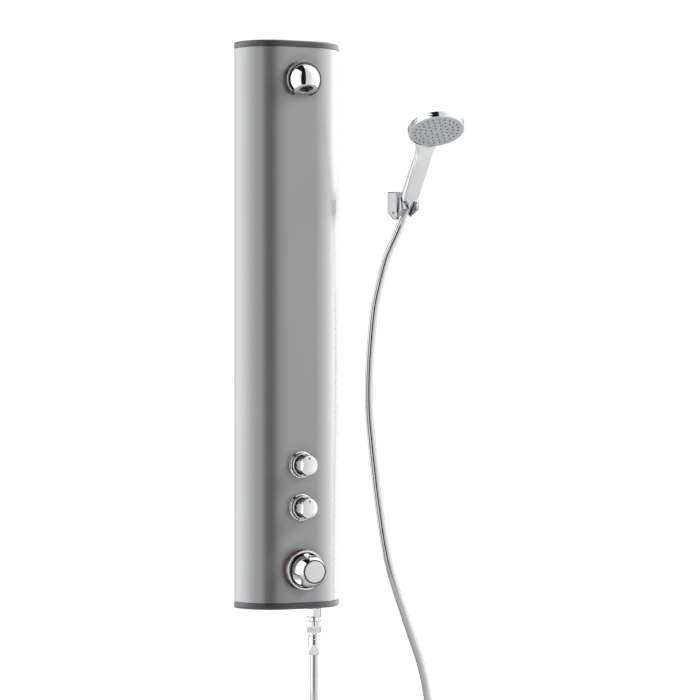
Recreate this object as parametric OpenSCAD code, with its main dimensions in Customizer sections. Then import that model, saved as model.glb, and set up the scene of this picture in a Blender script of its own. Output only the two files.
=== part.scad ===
// Thermostatic shower panel with a fixed head, two flow knobs, a temperature knob
// and a hand shower in a wall holder. Wall plane at y = 0, front towards -Y, +Z up.

/* [Panel casing] */
// Width of the panel across the wall
body_w = 196; // [188:2:220]
// Depth from the wall to the flat front
body_d = 72; // [70:1:78]
// Height of the panel over both end caps
body_h = 1000; // [980:10:1100]
// Wall of the aluminium section
wall = 2.5; // [2:0.1:3]
// Width of the folded lips at the wall
lip_w = 12; // [10:0.5:14]
// Radius of the screw ports inside the section
port_r = 5.2; // [4.6:0.1:5.6]
// Running distance between a port centre and the outside of the section
port_inset = 7.5; // [7:0.1:7.8]

/* [End caps] */
// Height of an end cap
cap_h = 12; // [10:0.5:16]
// How far a cap stands proud of the casing
cap_lap = 0.5; // [0.2:0.1:1]
// Radius of the outer edge of a cap
cap_edge_r = 4; // [2:0.5:4]
// Height of the shadow line between cap and casing
reveal_h = 1; // [0.5:0.1:2]
// Depth of the rim that plugs a cap into the casing
plug_h = 8; // [5:0.5:12]
// Thickness of the plug rim
plug_t = 2.4; // [1.8:0.1:3]
// Radius of a cap screw's shank
cap_screw_r = 1.6; // [1.4:0.1:1.8]
// Length of a cap screw
cap_screw_l = 24; // [20:1:30]

/* [Wall fixing] */
// Distance between the two wall screws of one bracket
fix_x = 120; // [100:5:130]
// Distance of each row of wall screws from its end of the panel
fix_inset = 150; // [130:5:180]
// Radius of a wall screw hole
fix_r = 3.25; // [2.5:0.25:4]
// Height of a wall bracket
bracket_h = 60; // [50:2:70]
// Sheet thickness of a wall bracket
sheet_t = 2; // [1.5:0.1:2.4]

/* [Fixed head] */
// Height of the head's centre below the top of the panel
head_drop = 70; // [60:2:120]
// Radius of the chromed ball
ball_r = 29; // [26:0.5:32]
// Distance of the ball's centre in front of the panel
ball_out = 11; // [9:0.5:13]
// Depth of the collar round the ball
collar_h = 14; // [11:0.5:16]
// Wall of the collar
collar_wall = 3.7; // [3:0.1:5]
// Distance of the cut face from the ball's centre
cut_at = 20.2; // [18:0.1:22]
// Tilt of the cut face towards the front
cut_tilt = 22; // [15:1:30]
// Radius of the spray insert
spray_r = 12; // [10:0.5:13]
// Distance of the spray insert in front of the cut's middle
spray_forward = 3; // [0:0.5:4]

/* [Temperature knob] */
// Height of the temperature knob above the bottom of the panel
mixer_rise = 70; // [66:1:74]
// Radius of the rosette behind the knob
rosette_r = 34.8; // [33:0.2:37]
// Height of the rosette
rosette_h = 21; // [18:0.5:23]
// Thickness of the hot and cold ring
scale_t = 3; // [2:0.1:3.5]
// Radius of the knob
grip_r = 29; // [28:0.2:30]
// Distance of the knob's front from the panel
grip_front = 55.5; // [52:0.5:58]
// Radius of the knob's front
grip_nose_r = 20.8; // [20.2:0.1:22]
// Radius of the ball that hollows out a finger dish
dish_r = 15; // [13:0.5:16]
// Distance of a finger dish's floor from the axis
dish_floor = 21; // [20:0.1:23]
// Radius of the cover disc on the knob
cover_r = 18.7; // [17:0.1:19]
// Radius of the red safety button
button_r = 2.5; // [2:0.1:2.8]
// Travel of the safety button
button_travel = 1.5; // [1:0.1:2]
// Radius of the temperature spindle
spindle_r = 5; // [4:0.1:5.4]

/* [Flow knobs] */
// Height of the lower flow knob above the temperature knob
flow_rise = 109; // [104:1:130]
// Distance between the two flow knobs
flow_pitch = 75; // [70:1:90]
// Radius of a small rosette at the panel
flow_rosette_r = 23.6; // [22:0.2:26]
// Height of a small rosette
flow_rosette_h = 12.5; // [11:0.5:14]
// Radius of a flow knob
flow_r = 17.3; // [16.5:0.1:17.8]
// Distance of a flow knob's front from the panel
flow_front = 37; // [33:0.5:42]
// Distance of the flow knob's thumb hollow from its axis
flow_waist = 14; // [13:0.1:15]
// Distance of the flow knob's flatter side from its axis
flow_side = 15.2; // [14.6:0.1:16]
// Radius of a flow valve's spindle
flow_spindle_r = 3.5; // [3:0.1:4]

/* [Water path] */
// Distance of the pipes and valve bodies from the wall
supply_y = 28; // [28:0.5:30]
// Distance of an inlet from its side of the panel
inlet_inset = 23; // [22:0.5:25]
// Radius of the female thread of an inlet
inlet_r = 9.3; // [9:0.1:9.5]
// Depth of the female thread of an inlet
inlet_depth = 14; // [12:0.5:16]
// Radius of the mixer's barrel
barrel_r = 18; // [17:0.5:18.5]
// Outer radius of the riser and of the mixed water pipe
riser_r = 7.5; // [6:0.1:8]
// Outer radius of the pipe to the hose outlet
hose_pipe_r = 6; // [5:0.1:6.4]

/* [Hose outlet] */
// Distance of the outlet from the right end of the panel's flat front
outlet_aside = 10; // [10:1:10]
// Distance of the outlet behind the flat front
outlet_inset = 26; // [26:1:26]
// Radius of the outlet's pipe thread
thread_r = 10.3; // [10:0.1:10.4]
// Width across the flats of the union nut
nut_af = 24; // [23:0.5:27]
// Travel of the coupling's sleeve
sleeve_travel = 4; // [3:0.5:5]
// Outer radius of the sleeve's grip
sleeve_r = 13.6; // [13:0.1:15]
// Radius of the hose
hose_r = 7; // [6.6:0.1:7.1]

/* [Wall holder] */
// Distance of the holder to the right of the panel's middle
holder_x = 216; // [216:1:216]
// Lean of the hand shower from the vertical
lean = 37.8; // [37.8:0.1:37.8]
// Outer radius of the cradle
cradle_r = 18.5; // [17.5:0.1:19.5]
// Width of the slot in the front of the cradle
slot_w = 15; // [14.6:0.1:16]
// Radius of the tilt pin
pin_r = 2.5; // [2:0.1:3]
// Width of the cradle's tongue
tongue_w = 9; // [8:0.5:10]
// Height of the holder's wall body
post_h = 39; // [36:1:42]
// Width of the holder's wall body at the wall
post_w = 26; // [25:0.5:30]
// Distance between the two screws of the holder
holder_fix = 25; // [22:1:26]

/* [Hand shower] */
// Radius of the spray head
head_r = 50; // [46:0.5:54]
// Height of the chromed rim band
rim_h = 11.5; // [10:0.1:13]
// Distance of the spray face from the handle's end, along the handle
face_along = 158.6; // [152:0.1:164]
// Distance of the spray face in front of the handle's axis
face_out = 21.4; // [19:0.1:23]
// Half the width of the handle
handle_r = 15.9; // [14:0.1:16.5]
// Radius of the rings of spray nozzles, outermost first
nozzle_rings = [38.5, 29.5, 20, 10];
// Number of nozzles in each ring
nozzle_counts = [24, 18, 12, 6];
// Radius of a spray nozzle
nozzle_r = 1.4; // [1:0.1:1.6]

/* [Hidden] */

// Clearances
run_gap = 0.06;
slip_gap = 0.3;
$fn = 48;

// Panel
flat_half = body_w / 2 - body_d;
fix_z = body_h - 2 * fix_inset;
inlet_pitch = body_w - 2 * inlet_inset;
outlet_x = flat_half + outlet_aside;
outlet_y = body_d - outlet_inset;
case_h = body_h - 2 * cap_h;
bottom_z = -body_h / 2;
port_angles = [24, 38];
port_hole_r = cap_screw_r + run_gap;

// Heights on the panel
head_z = body_h / 2 - head_drop;
mixer_z = bottom_z + mixer_rise;
lower_z = mixer_z + flow_rise;
upper_z = lower_z + flow_pitch;

// Mixer, measured along its own axis from the panel's face outwards
neck_r = 20;
neck_out = 12;
neck_wall = 4;
pipe_gap = 1.5;
cartridge_r = 16.8;
cartridge_back = -52;
lock_nut_h = 4.5;
rosette_floor = 7.8;
floor_t = 3;
opening_r = grip_r + 2.2;
shoulder = 33;
cap_nut_r = 23.5;
hub_r = 9;
hub_out = 17;
grip_back = 9;
spindle_end = 40;
spindle_in = -8;
button_at = 35;
button_out = 26.4;
button_in = 14.5;
spring_in = 10.5;
barrel_half = inlet_pitch / 2 - 17;
inlet_pipe_r = inlet_r + 1.9;

// Flow valves, measured the same way
flow_neck_r = 12.5;
flow_neck_out = 6;
flow_cart_r = 9.4;
flow_cart_back = -30;
flow_floor = 6;
flow_flange_h = 2.7;
flow_back = 9.6;
flow_opening_r = flow_r + 1.7;
flow_bow_r = 18;
flow_scoop_r = 26;
dot_r = 1.9;
dot_up = 12;
flow_dome_r = 60;
block_r = 14;
boss_r = 16;

// Outlet, downwards from the panel's bottom
nut_h = 17.4;
sleeve_top = 24.5;
sleeve_mid = 37.5;
sleeve_end = 44.5;
body_end = 48;
flange_top = 50.3;
flange_end = 57.4;
cone_end = 84.4;
hose_in = 66;
coupler_neck_r = 7.6;
coupler_bore_r = 6.6;

// Holder and hand shower: the seat is where the hose nut meets the handle
seat = [holder_x, -61, 227];
nut_l = 34;
nut_top_r = 12;
nut_low_r = 8.8;
cup_low = -31;
cup_high = -0.5;
pivot = [holder_x, -16, 204];
post_low = 203.5;
handle_bore = 12;

// Route of the hose from the handle down, round its loop and up to the panel
hose_route = [[216, -66, 233], [216, -51, 214], [216, -37, 196], [213.5, -28, 178],
    [206.5, -23, 157], [197, -22, 136], [188, -22, 115], [175.5, -22, 71],
    [166, -22, 28], [159.5, -22, -30], [155.5, -23, -80], [153.5, -25, -124],
    [154, -27, -167], [157.5, -29, -210], [161.5, -31, -253], [166, -33, -297],
    [171.5, -35, -340], [177.5, -37, -383], [186, -39, -427], [198.5, -41, -471],
    [213.5, -43, -515], [229, -45, -560], [244.5, -46, -603], [257, -46, -650],
    [264, -46, -700], [262, -46, -750], [242, -46, -797], [205, -46, -828],
    [155, -46, -838], [107, -46, -826], [69, -46, -794], [46, -46, -748],
    [38, -46, -698], [36, -46, -650], [36, -46, -608], [36, -46, -566]];

// Places a piece on the flat front, its own +Z pointing out of the panel
module on_face(z) { translate([0, -body_d, z]) rotate([90, 0, 0]) children(); }

// Places a piece on the hose outlet, z measured downwards from the panel's bottom
module at_outlet(drop) { translate([outlet_x, -outlet_y, bottom_z - drop]) children(); }

// Places a piece in the leaning hand shower's own frame, +Z up the handle
module on_handle() { translate(seat) rotate([lean, 0, 0]) children(); }

// The hand shower sits a little turned in the cradle's cone
hand_turn = -5.4;
module on_handset() { on_handle() rotate([0, 0, hand_turn]) children(); }

// Turns a piece on the spray face's own axis, +Z out of the face
face_down = 25.3;
face_r = head_r - 3.4;
face_seat = 4.2;
trim_h = 4.5;
module on_spray() {
    on_handset() translate([0, -face_out, face_along]) rotate([90 + face_down, 0, 0])
        children();
}

// A plain ring or tube standing on z = 0
module ring(outer, inner, h) {
    difference() {
        cylinder(r = outer, h = h);
        translate([0, 0, -1]) cylinder(r = inner, h = h + 2);
    }
}

// Cross-section of the panel: a flat front between two quarter rounds
module outline(inset) {
    r = body_d - inset;
    intersection() {
        union() {
            for (side = [-1, 1]) translate([side * flat_half, 0]) circle(r = r, $fn = 96);
            translate([-flat_half, -r]) square([2 * flat_half, r]);
        }
        translate([-body_w, -2 * body_d]) square([2 * body_w, 2 * body_d]);
    }
}

// Puts a shape at each of the four screw ports
module at_ports() {
    reach = body_d - port_inset;
    for (side = [-1, 1]) for (a = port_angles)
        translate([side * (flat_half + reach * sin(a)), -reach * cos(a)]) children();
}

module casing_section() {
    difference() {
        union() {
            difference() {
                outline(0);
                outline(wall);
            }
            for (side = [0, 1]) mirror([side, 0])
                translate([body_w / 2 - wall - lip_w, -wall]) square([lip_w + wall / 2, wall]);
            at_ports() circle(r = port_r);
        }
        at_ports() circle(r = port_hole_r);
    }
}

module panel_casing() {
    color("silver") difference() {
        translate([0, 0, -case_h / 2]) linear_extrude(case_h) casing_section();
        on_face(head_z) translate([0, 0, -wall - 1]) cylinder(r = elbow_neck_r + slip_gap, h = wall + 2);
        on_face(mixer_z) translate([0, 0, -wall - 1]) cylinder(r = neck_r + slip_gap, h = wall + 2);
        for (z = [lower_z, upper_z]) on_face(z)
            translate([0, 0, -wall - 1]) cylinder(r = flow_neck_r + slip_gap, h = wall + 2);
        translate([-inlet_pitch / 2 - 14, -wall - 1, mixer_z - 16]) cube([inlet_pitch + 28, wall + 2, 32]);
    }
}

// Half profile of an end cap: flat top, rounded edge and a shadow line at the casing
module cap_section() {
    r = body_d + cap_lap;
    difference() {
        union() {
            square([r - cap_edge_r, cap_h]);
            square([r, cap_h - cap_edge_r]);
            translate([r - cap_edge_r, cap_h - cap_edge_r]) circle(r = cap_edge_r);
        }
        translate([body_d - reveal_h, -1]) square([cap_edge_r, reveal_h + 1]);
    }
}

screw_head_h = 2.2;
screw_head_r = 3.4;
module end_cap() {
    difference() {
        union() {
            intersection() {
                union() {
                    for (side = [-1, 1]) translate([side * flat_half, 0, 0])
                        rotate_extrude($fn = 96) cap_section();
                    rotate([90, 0, -90]) linear_extrude(2 * flat_half, center = true)
                        cap_section();
                }
                translate([-body_w, -2 * body_d, -1]) cube([2 * body_w, 2 * body_d, cap_h + 2]);
            }
            translate([0, 0, -plug_h]) linear_extrude(plug_h) difference() {
                outline(wall + slip_gap);
                outline(wall + slip_gap + plug_t);
                at_ports() circle(r = port_r + slip_gap);
                translate([-body_w, -wall - slip_gap]) square([2 * body_w, body_d]);
            }
        }
        translate([0, 0, -1]) linear_extrude(cap_h + 2) at_ports()
            circle(r = cap_screw_r + slip_gap);
        for (z = [cap_h - screw_head_h]) translate([0, 0, z]) at_ports()
            cylinder(r1 = cap_screw_r + slip_gap, r2 = screw_head_r + slip_gap, h = screw_head_h + 0.01);
    }
}

module top_cap() {
    color("dimgray") translate([0, 0, case_h / 2]) end_cap();
}

module bottom_cap() {
    color("dimgray") difference() {
        translate([0, 0, -case_h / 2]) mirror([0, 0, 1]) end_cap();
        at_outlet(1) cylinder(r = thread_r + slip_gap, h = cap_h + 2);
    }
}

module cap_screws() {
    color("gainsboro") for (end = [0, 1]) mirror([0, 0, end])
        translate([0, 0, body_h / 2]) at_ports() difference() {
            union() {
                translate([0, 0, -screw_head_h])
                    cylinder(r1 = cap_screw_r, r2 = screw_head_r, h = screw_head_h);
                translate([0, 0, -cap_screw_l]) cylinder(r = cap_screw_r, h = cap_screw_l - 1);
            }
            for (turn = [0, 90]) rotate(turn) translate([-2, -0.4, -1]) cube([4, 0.8, 2]);
        }
}

// Sheet bracket on the wall: its side tabs reach in front of the casing's lips
module wall_bracket() {
    plate_half = fix_x / 2 + 14;
    tab_y = wall + slip_gap + sheet_t;
    tab_end = body_w / 2 - wall - lip_w / 2;
    difference() {
        union() {
            translate([-plate_half, -sheet_t, -bracket_h / 2])
                cube([2 * plate_half, sheet_t, bracket_h]);
            for (side = [0, 1]) mirror([side, 0, 0]) {
                translate([plate_half - sheet_t, -tab_y, -bracket_h / 2])
                    cube([sheet_t, tab_y, bracket_h]);
                translate([plate_half - sheet_t, -tab_y, -bracket_h / 2])
                    cube([tab_end - plate_half + sheet_t, sheet_t, bracket_h]);
            }
        }
        for (side = [-1, 1]) translate([side * fix_x / 2, 1, 0]) rotate([90, 0, 0])
            cylinder(r = fix_r, h = sheet_t + 2);
        translate([0, 1, 0]) rotate([90, 0, 0]) cylinder(r = bracket_h / 4, h = sheet_t + 2);
    }
}

module upper_wall_bracket() {
    color("lightgray") translate([0, 0, fix_z / 2]) wall_bracket();
}

module lower_wall_bracket() {
    color("lightgray") translate([0, 0, -fix_z / 2]) wall_bracket();
}

// Brass mixer: a barrel across the panel with a necked boss for the cartridge
module mixer_body() {
    face_back = body_d - supply_y;
    color("goldenrod") difference() {
        union() {
            translate([-barrel_half, -supply_y, mixer_z]) rotate([0, 90, 0])
                cylinder(r = barrel_r, h = 2 * barrel_half);
            on_face(mixer_z) {
                translate([0, 0, -face_back]) cylinder(r = neck_r + neck_wall, h = face_back - wall);
                translate([0, 0, -wall - 1]) cylinder(r = neck_r, h = wall + 1 + neck_out);
            }
            translate([0, -supply_y, mixer_z]) cylinder(r = riser_r + 3.5, h = neck_r + 8);
        }
        on_face(mixer_z) translate([0, 0, cartridge_back])
            cylinder(r = cartridge_r + run_gap, h = neck_out - cartridge_back + 1);
        translate([-barrel_half - 1, -supply_y, mixer_z]) rotate([0, 90, 0])
            cylinder(r = inlet_r - 2, h = 2 * barrel_half + 2);
        translate([0, -supply_y, mixer_z]) cylinder(r = riser_r - 1, h = neck_r + 9);
        translate([0, -supply_y, mixer_z + neck_r]) cylinder(r = riser_r + run_gap, h = 9);
    }
}

module mixer_lock_nut() {
    color("goldenrod") on_face(mixer_z) difference() {
        cylinder(r = neck_r + 6, h = lock_nut_h, $fn = 8);
        translate([0, 0, -1]) cylinder(r = neck_r + run_gap, h = lock_nut_h + 2);
    }
}

// Wax cartridge: seal grooves along its barrel, hub and bore for the spindle
module thermostatic_cartridge() {
    groove_pitch = 12;
    color("whitesmoke") on_face(mixer_z) difference() {
        union() {
            translate([0, 0, cartridge_back]) cylinder(r = cartridge_r, h = neck_out - cartridge_back);
            translate([0, 0, neck_out - 1]) cylinder(r = hub_r, h = hub_out - neck_out + 1);
        }
        translate([0, 0, spindle_in - 2]) cylinder(r = spindle_r + run_gap, h = hub_out - spindle_in + 3);
        for (i = [1 : 4]) translate([0, 0, cartridge_back + i * groove_pitch])
            ring(cartridge_r + 1, cartridge_r - 2, 2.4);
    }
}

module cartridge_nut() {
    skirt = rosette_floor + 0.2;
    color("goldenrod") on_face(mixer_z) difference() {
        translate([0, 0, skirt]) cylinder(r = cap_nut_r, h = neck_out + 2 - skirt);
        translate([0, 0, skirt - 1]) cylinder(r = neck_r + run_gap, h = neck_out - skirt + 1);
        cylinder(r = hub_r + slip_gap, h = 20);
    }
}

module temperature_spindle() {
    color("goldenrod") on_face(mixer_z) difference() {
        translate([0, 0, spindle_in]) cylinder(r = spindle_r, h = spindle_end - spindle_in);
        translate([0, 0, spindle_end - 15]) cylinder(r = 2.4 + run_gap, h = 20);
    }
}

// Thin ring at the panel: hot half on the left, cold half on the right
module hot_cold_ring() {
    color("red") on_face(mixer_z) ring(rosette_r - 0.4, neck_r + 8, scale_t);
}

module mixer_rosette() {
    edge = 2;
    color("gainsboro") on_face(mixer_z) rotate_extrude($fn = 72) difference() {
        union() {
            translate([neck_r + slip_gap, rosette_floor - floor_t])
                square([rosette_r - neck_r - edge, floor_t]);
            translate([opening_r, scale_t]) square([rosette_r - opening_r, rosette_h - scale_t - edge]);
            translate([opening_r, scale_t])
                square([rosette_r - opening_r - edge, rosette_h - scale_t]);
            translate([rosette_r - edge, rosette_h - edge]) circle(r = edge);
        }
        translate([0, -rosette_h]) square([neck_r + 7.5, rosette_h + rosette_floor - floor_t]);
    }
}

// Half profile of the temperature knob: straight skirt, domed flank, flat nose
module grip_section() {
    side = grip_r - grip_nose_r;
    rise = grip_front - shoulder;
    dome_r = (side * side + rise * rise) / (2 * side);
    intersection() {
        union() {
            square([grip_r, shoulder]);
            translate([grip_r - dome_r, shoulder]) circle(r = dome_r, $fn = 96);
        }
        translate([0, grip_back]) square([grip_r, grip_front - grip_back]);
    }
}

// Temperature knob with three finger dishes, the top one holding the button
module temperature_knob() {
    color("gainsboro") on_face(mixer_z) difference() {
        rotate_extrude($fn = 72) grip_section();
        for (a = [90, 210, 330]) rotate(a)
            translate([dish_floor + dish_r, 0, button_at]) sphere(r = dish_r, $fn = 64);
        translate([0, 0, grip_back - 1]) cylinder(r = cap_nut_r + 1, h = neck_out + 4.5 - grip_back);
        cylinder(r = hub_r + 1, h = hub_out + 1);
        cylinder(r = spindle_r + run_gap, h = spindle_end + slip_gap);
        cylinder(r = 2.8, h = grip_front);
        translate([0, 0, spindle_end + 1]) cylinder(r = 4.8, h = grip_front);
        translate([0, 0, grip_front - 3]) cylinder(r = cover_r + 0.2, h = 4);
        translate([0, spring_in, button_at]) rotate([-90, 0, 0])
            cylinder(r = button_r + run_gap, h = grip_r);
    }
}

module knob_cover() {
    color("lightgray") on_face(mixer_z) translate([0, 0, grip_front - 3]) {
        cylinder(r = cover_r, h = 5);
        translate([0, 0, 5]) cylinder(r1 = cover_r, r2 = cover_r - 1, h = 0.8);
    }
}

module cover_ring() {
    color("darkslategray") on_face(mixer_z) translate([0, 0, grip_front])
        ring(grip_nose_r, cover_r + 0.2, 2.4);
}

module knob_screw() {
    head_at = spindle_end + 1;
    color("gainsboro") on_face(mixer_z) difference() {
        union() {
            translate([0, 0, head_at]) cylinder(r = 4.4, h = 4.5);
            translate([0, 0, spindle_end - 14]) cylinder(r = 2.4, h = 16);
        }
        translate([0, 0, head_at + 2]) cylinder(r = 2.3, h = 4, $fn = 6);
    }
}

module safety_button() {
    dome = button_r * 1.3;
    color("red") on_face(mixer_z) translate([0, button_in, button_at]) rotate([-90, 0, 0])
        intersection() {
            cylinder(r = button_r, h = button_out - button_in);
            translate([0, 0, button_out - button_in - dome]) sphere(r = dome + 0.01);
        }
}

// Helical spring standing on z = 0: one unbroken wire swept round its axis
function helix(r, h, turns, steps) =
    [for (i = [0 : turns * steps]) [r * cos(i * 360 / steps), r * sin(i * 360 / steps),
        h * i / (turns * steps)]];
module coil(r, wire, h, turns) {
    path = helix(r, h - 2 * wire, turns, 14);
    translate([0, 0, wire]) sweep(path, wire, 6);
}

module button_spring() {
    color("silver") on_face(mixer_z) translate([0, spring_in, button_at]) rotate([-90, 0, 0])
        coil(button_r - 0.6, 0.3, button_in - spring_in, 4);
}

// Elbow from the wall to the mixer: female thread at the wall, flange at the barrel
module inlet_elbow() {
    x = inlet_pitch / 2;
    bend_in = x - barrel_half;
    difference() {
        union() {
            translate([x, 0, mixer_z]) rotate([90, 0, 0]) cylinder(r = inlet_pipe_r, h = supply_y);
            translate([x, -supply_y, mixer_z]) sphere(r = inlet_pipe_r);
            translate([barrel_half, -supply_y, mixer_z]) rotate([0, 90, 0])
                cylinder(r = inlet_pipe_r, h = bend_in);
            translate([barrel_half, -supply_y, mixer_z]) rotate([0, 90, 0])
                cylinder(r = 14, h = 3.5, $fn = 6);
        }
        translate([x, 1, mixer_z]) rotate([90, 0, 0]) cylinder(r = inlet_r, h = inlet_depth + 1);
        translate([x, 0, mixer_z]) rotate([90, 0, 0]) cylinder(r = inlet_r - 1.3, h = supply_y);
        translate([barrel_half - 1, -supply_y, mixer_z]) rotate([0, 90, 0])
            cylinder(r = inlet_r - 2, h = bend_in + 1);
    }
}

module hot_inlet() { color("goldenrod") mirror([1, 0, 0]) inlet_elbow(); }
module cold_inlet() { color("goldenrod") inlet_elbow(); }

// Non-return cartridges with their strainers, one behind each inlet thread
module check_valves() {
    valve_h = 9;
    color("white") for (side = [-1, 1])
        translate([side * inlet_pitch / 2, -inlet_depth - 1, mixer_z]) rotate([90, 0, 0])
            difference() {
                cylinder(r = inlet_r - 1.3 - run_gap, h = valve_h);
                translate([0, 0, -1]) cylinder(r = 4, h = valve_h + 2);
                translate([0, 0, valve_h / 2]) ring(inlet_r, inlet_r - 2.6, 1.6);
            }
}

// Brass manifold carrying both flow valves
module valve_block() {
    face_back = body_d - supply_y;
    block_low = lower_z - 25;
    block_high = upper_z + 25;
    color("goldenrod") difference() {
        union() {
            translate([0, -supply_y, block_low]) cylinder(r = block_r, h = block_high - block_low);
            for (z = [lower_z, upper_z]) on_face(z) {
                translate([0, 0, -face_back]) cylinder(r = boss_r, h = face_back - wall);
                translate([0, 0, -wall - 1]) cylinder(r = flow_neck_r, h = wall + 1 + flow_neck_out);
            }
            translate([0, -supply_y, lower_z - boss_r + 1]) rotate([0, 90, 0])
                cylinder(r = hose_pipe_r + 3, h = block_r + 6);
        }
        for (z = [lower_z, upper_z]) on_face(z) translate([0, 0, flow_cart_back])
            cylinder(r = flow_cart_r + run_gap, h = flow_neck_out - flow_cart_back + 1);
        for (z = [block_low - 1, upper_z]) translate([0, -supply_y, z])
            cylinder(r = riser_r - 1.5, h = 26);
        for (z = [block_low - 1, block_high - 9]) translate([0, -supply_y, z])
            cylinder(r = riser_r + run_gap, h = 10);
        translate([0, -supply_y, lower_z - boss_r + 1]) rotate([0, 90, 0])
            cylinder(r = hose_pipe_r - 1, h = block_r + 7);
        translate([block_r - 1, -supply_y, lower_z - boss_r + 1]) rotate([0, 90, 0])
            cylinder(r = hose_pipe_r + run_gap, h = 8);
    }
}

module valve_lock_nuts() {
    color("goldenrod") for (z = [lower_z, upper_z]) on_face(z) difference() {
        cylinder(r = flow_neck_r + 4.5, h = 3.4, $fn = 6);
        translate([0, 0, -1]) cylinder(r = flow_neck_r + run_gap, h = 6);
    }
}

// Ceramic disc headwork: barrel, clamping flange and hub
module flow_cartridge(z) {
    color("whitesmoke") on_face(z) difference() {
        union() {
            translate([0, 0, flow_cart_back]) cylinder(r = flow_cart_r, h = flow_neck_out - flow_cart_back + 1);
            translate([0, 0, flow_neck_out + 0.1]) cylinder(r = flow_neck_r + 2, h = flow_flange_h);
            translate([0, 0, flow_neck_out]) cylinder(r = 6, h = 7);
        }
        translate([0, 0, -7]) cylinder(r = flow_spindle_r + run_gap, h = 30);
        for (i = [1, 2]) translate([0, 0, flow_cart_back + i * 8]) ring(flow_cart_r + 1, flow_cart_r - 1.5, 2);
    }
}
module upper_valve_cartridge() { flow_cartridge(upper_z); }
module lower_valve_cartridge() { flow_cartridge(lower_z); }

module flow_spindle(z) {
    color("goldenrod") on_face(z) translate([0, 0, -5]) cylinder(r = flow_spindle_r, h = 34);
}
module upper_spindle() { flow_spindle(upper_z); }
module lower_spindle() { flow_spindle(lower_z); }

// Tapered rosette with a recess for the knob and a floor held by the valve
module flow_rosette(z) {
    top_r = flow_rosette_r - 2.9;
    color("gainsboro") on_face(z) rotate_extrude($fn = 64) polygon([
        [flow_neck_r + 4.8, 0], [flow_rosette_r, 0], [flow_rosette_r, 2.5],
        [top_r, flow_rosette_h - 0.8], [top_r - 0.8, flow_rosette_h],
        [flow_opening_r, flow_rosette_h], [flow_opening_r, flow_floor],
        [flow_neck_r + slip_gap, flow_floor], [flow_neck_r + slip_gap, 3.6],
        [flow_neck_r + 4.8, 3.6]]);
}
module upper_rosette() { flow_rosette(upper_z); }
module lower_rosette() { flow_rosette(lower_z); }

module flow_section() {
    edge = 2.2;
    intersection() {
        union() {
            translate([0, flow_back]) square([flow_r, flow_front - flow_back - edge - 2]);
            translate([flow_r - edge, flow_front - edge - 2]) circle(r = edge);
            translate([0, flow_back]) square([flow_r - edge, flow_front - flow_back]);
        }
        translate([0, flow_front - flow_dome_r]) circle(r = flow_dome_r, $fn = 128);
        square([flow_r, flow_front]);
    }
}

// Flow knob: a round column with a domed front, a shallow hollow for the thumb on its
// left and a flatter bow on its right
module flow_knob(z) {
    color("gainsboro") on_face(z) difference() {
        intersection() {
            rotate_extrude($fn = 64) flow_section();
            translate([flow_side - flow_bow_r, 0, 0])
                cylinder(r = flow_bow_r, h = flow_front + 1, $fn = 96);
        }
        translate([-flow_waist - flow_scoop_r, 0, flow_back - 1])
            cylinder(r = flow_scoop_r, h = flow_front, $fn = 128);
        translate([0, 0, flow_back - 1]) cylinder(r = 7.2, h = 5.4);
        cylinder(r = flow_spindle_r + run_gap, h = 29.3);
        translate([0, dot_up, flow_front - 2.4]) cylinder(r = dot_r + run_gap, h = 4);
    }
}
module upper_knob() { flow_knob(upper_z); }
module lower_knob() { flow_knob(lower_z); }

module index_dot(z) {
    color("red") on_face(z) translate([0, dot_up, flow_front - 2.4]) cylinder(r = dot_r, h = 1.6);
}
module upper_index_dot() { index_dot(upper_z); }
module lower_index_dot() { index_dot(lower_z); }

// Mixed water from the mixer up to the flow valves
module mixed_water_pipe() {
    low = mixer_z + neck_r;
    color("peru") translate([0, -supply_y, low + 0.1])
        ring(riser_r, riser_r - 1, lower_z - 16.2 - low);
}

// Riser from the flow valves up to the fixed head
module riser_pipe() {
    low = upper_z + 16.1;
    color("peru") translate([0, -supply_y, low]) ring(riser_r, riser_r - 1, head_z - 14 - low);
}

// Round pipe through a list of points, with an elbow fitting at each corner
module pipe(points, r, elbow) {
    for (i = [0 : len(points) - 2]) {
        d = points[i + 1] - points[i];
        turn = atan2(d[1], d[0]);
        tip = acos(d[2] / norm(d));
        translate(points[i]) rotate([0, tip, turn]) cylinder(r = r, h = norm(d));
        if (i > 0) translate(points[i]) sphere(r = elbow);
    }
}

// Pipe to the hose outlet, led past the mixer's neck and in front of its barrel
module hose_pipe() {
    side_x = neck_r + neck_wall + hose_pipe_r + pipe_gap;
    front_y = supply_y + barrel_r + hose_pipe_r + pipe_gap;
    start = lower_z - boss_r + 1;
    below = mixer_z - neck_r - 5;
    color("peru") pipe([[block_r - 0.9, -supply_y, start], [side_x, -supply_y, start],
        [side_x, -front_y, start - front_y + supply_y - 5], [side_x, -front_y, below],
        [outlet_x, -outlet_y, below - 2 * hose_pipe_r], [outlet_x, -outlet_y, bottom_z + cap_h + 8.1]],
        hose_pipe_r, hose_pipe_r + 1);
}

elbow_neck_r = 9.5;
module head_elbow() {
    back = body_d - supply_y;
    color("goldenrod") difference() {
        union() {
            translate([0, -supply_y, head_z - 24]) cylinder(r = riser_r + 3.5, h = 24);
            translate([0, -supply_y, head_z]) sphere(r = riser_r + 3.5);
            on_face(head_z) {
                translate([0, 0, -back]) cylinder(r = riser_r + 3.5, h = back - wall);
                translate([0, 0, -wall - 5]) cylinder(r = 14, h = 5, $fn = 6);
                translate([0, 0, -wall - 1]) cylinder(r = elbow_neck_r, h = wall + 8.5);
            }
        }
        translate([0, -supply_y, head_z - 25]) cylinder(r = riser_r + run_gap, h = 11.2);
        translate([0, -supply_y, head_z - 25]) cylinder(r = riser_r - 1.5, h = 25);
        on_face(head_z) translate([0, 0, -back]) cylinder(r = riser_r - 1.5, h = back + 10);
    }
}

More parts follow.
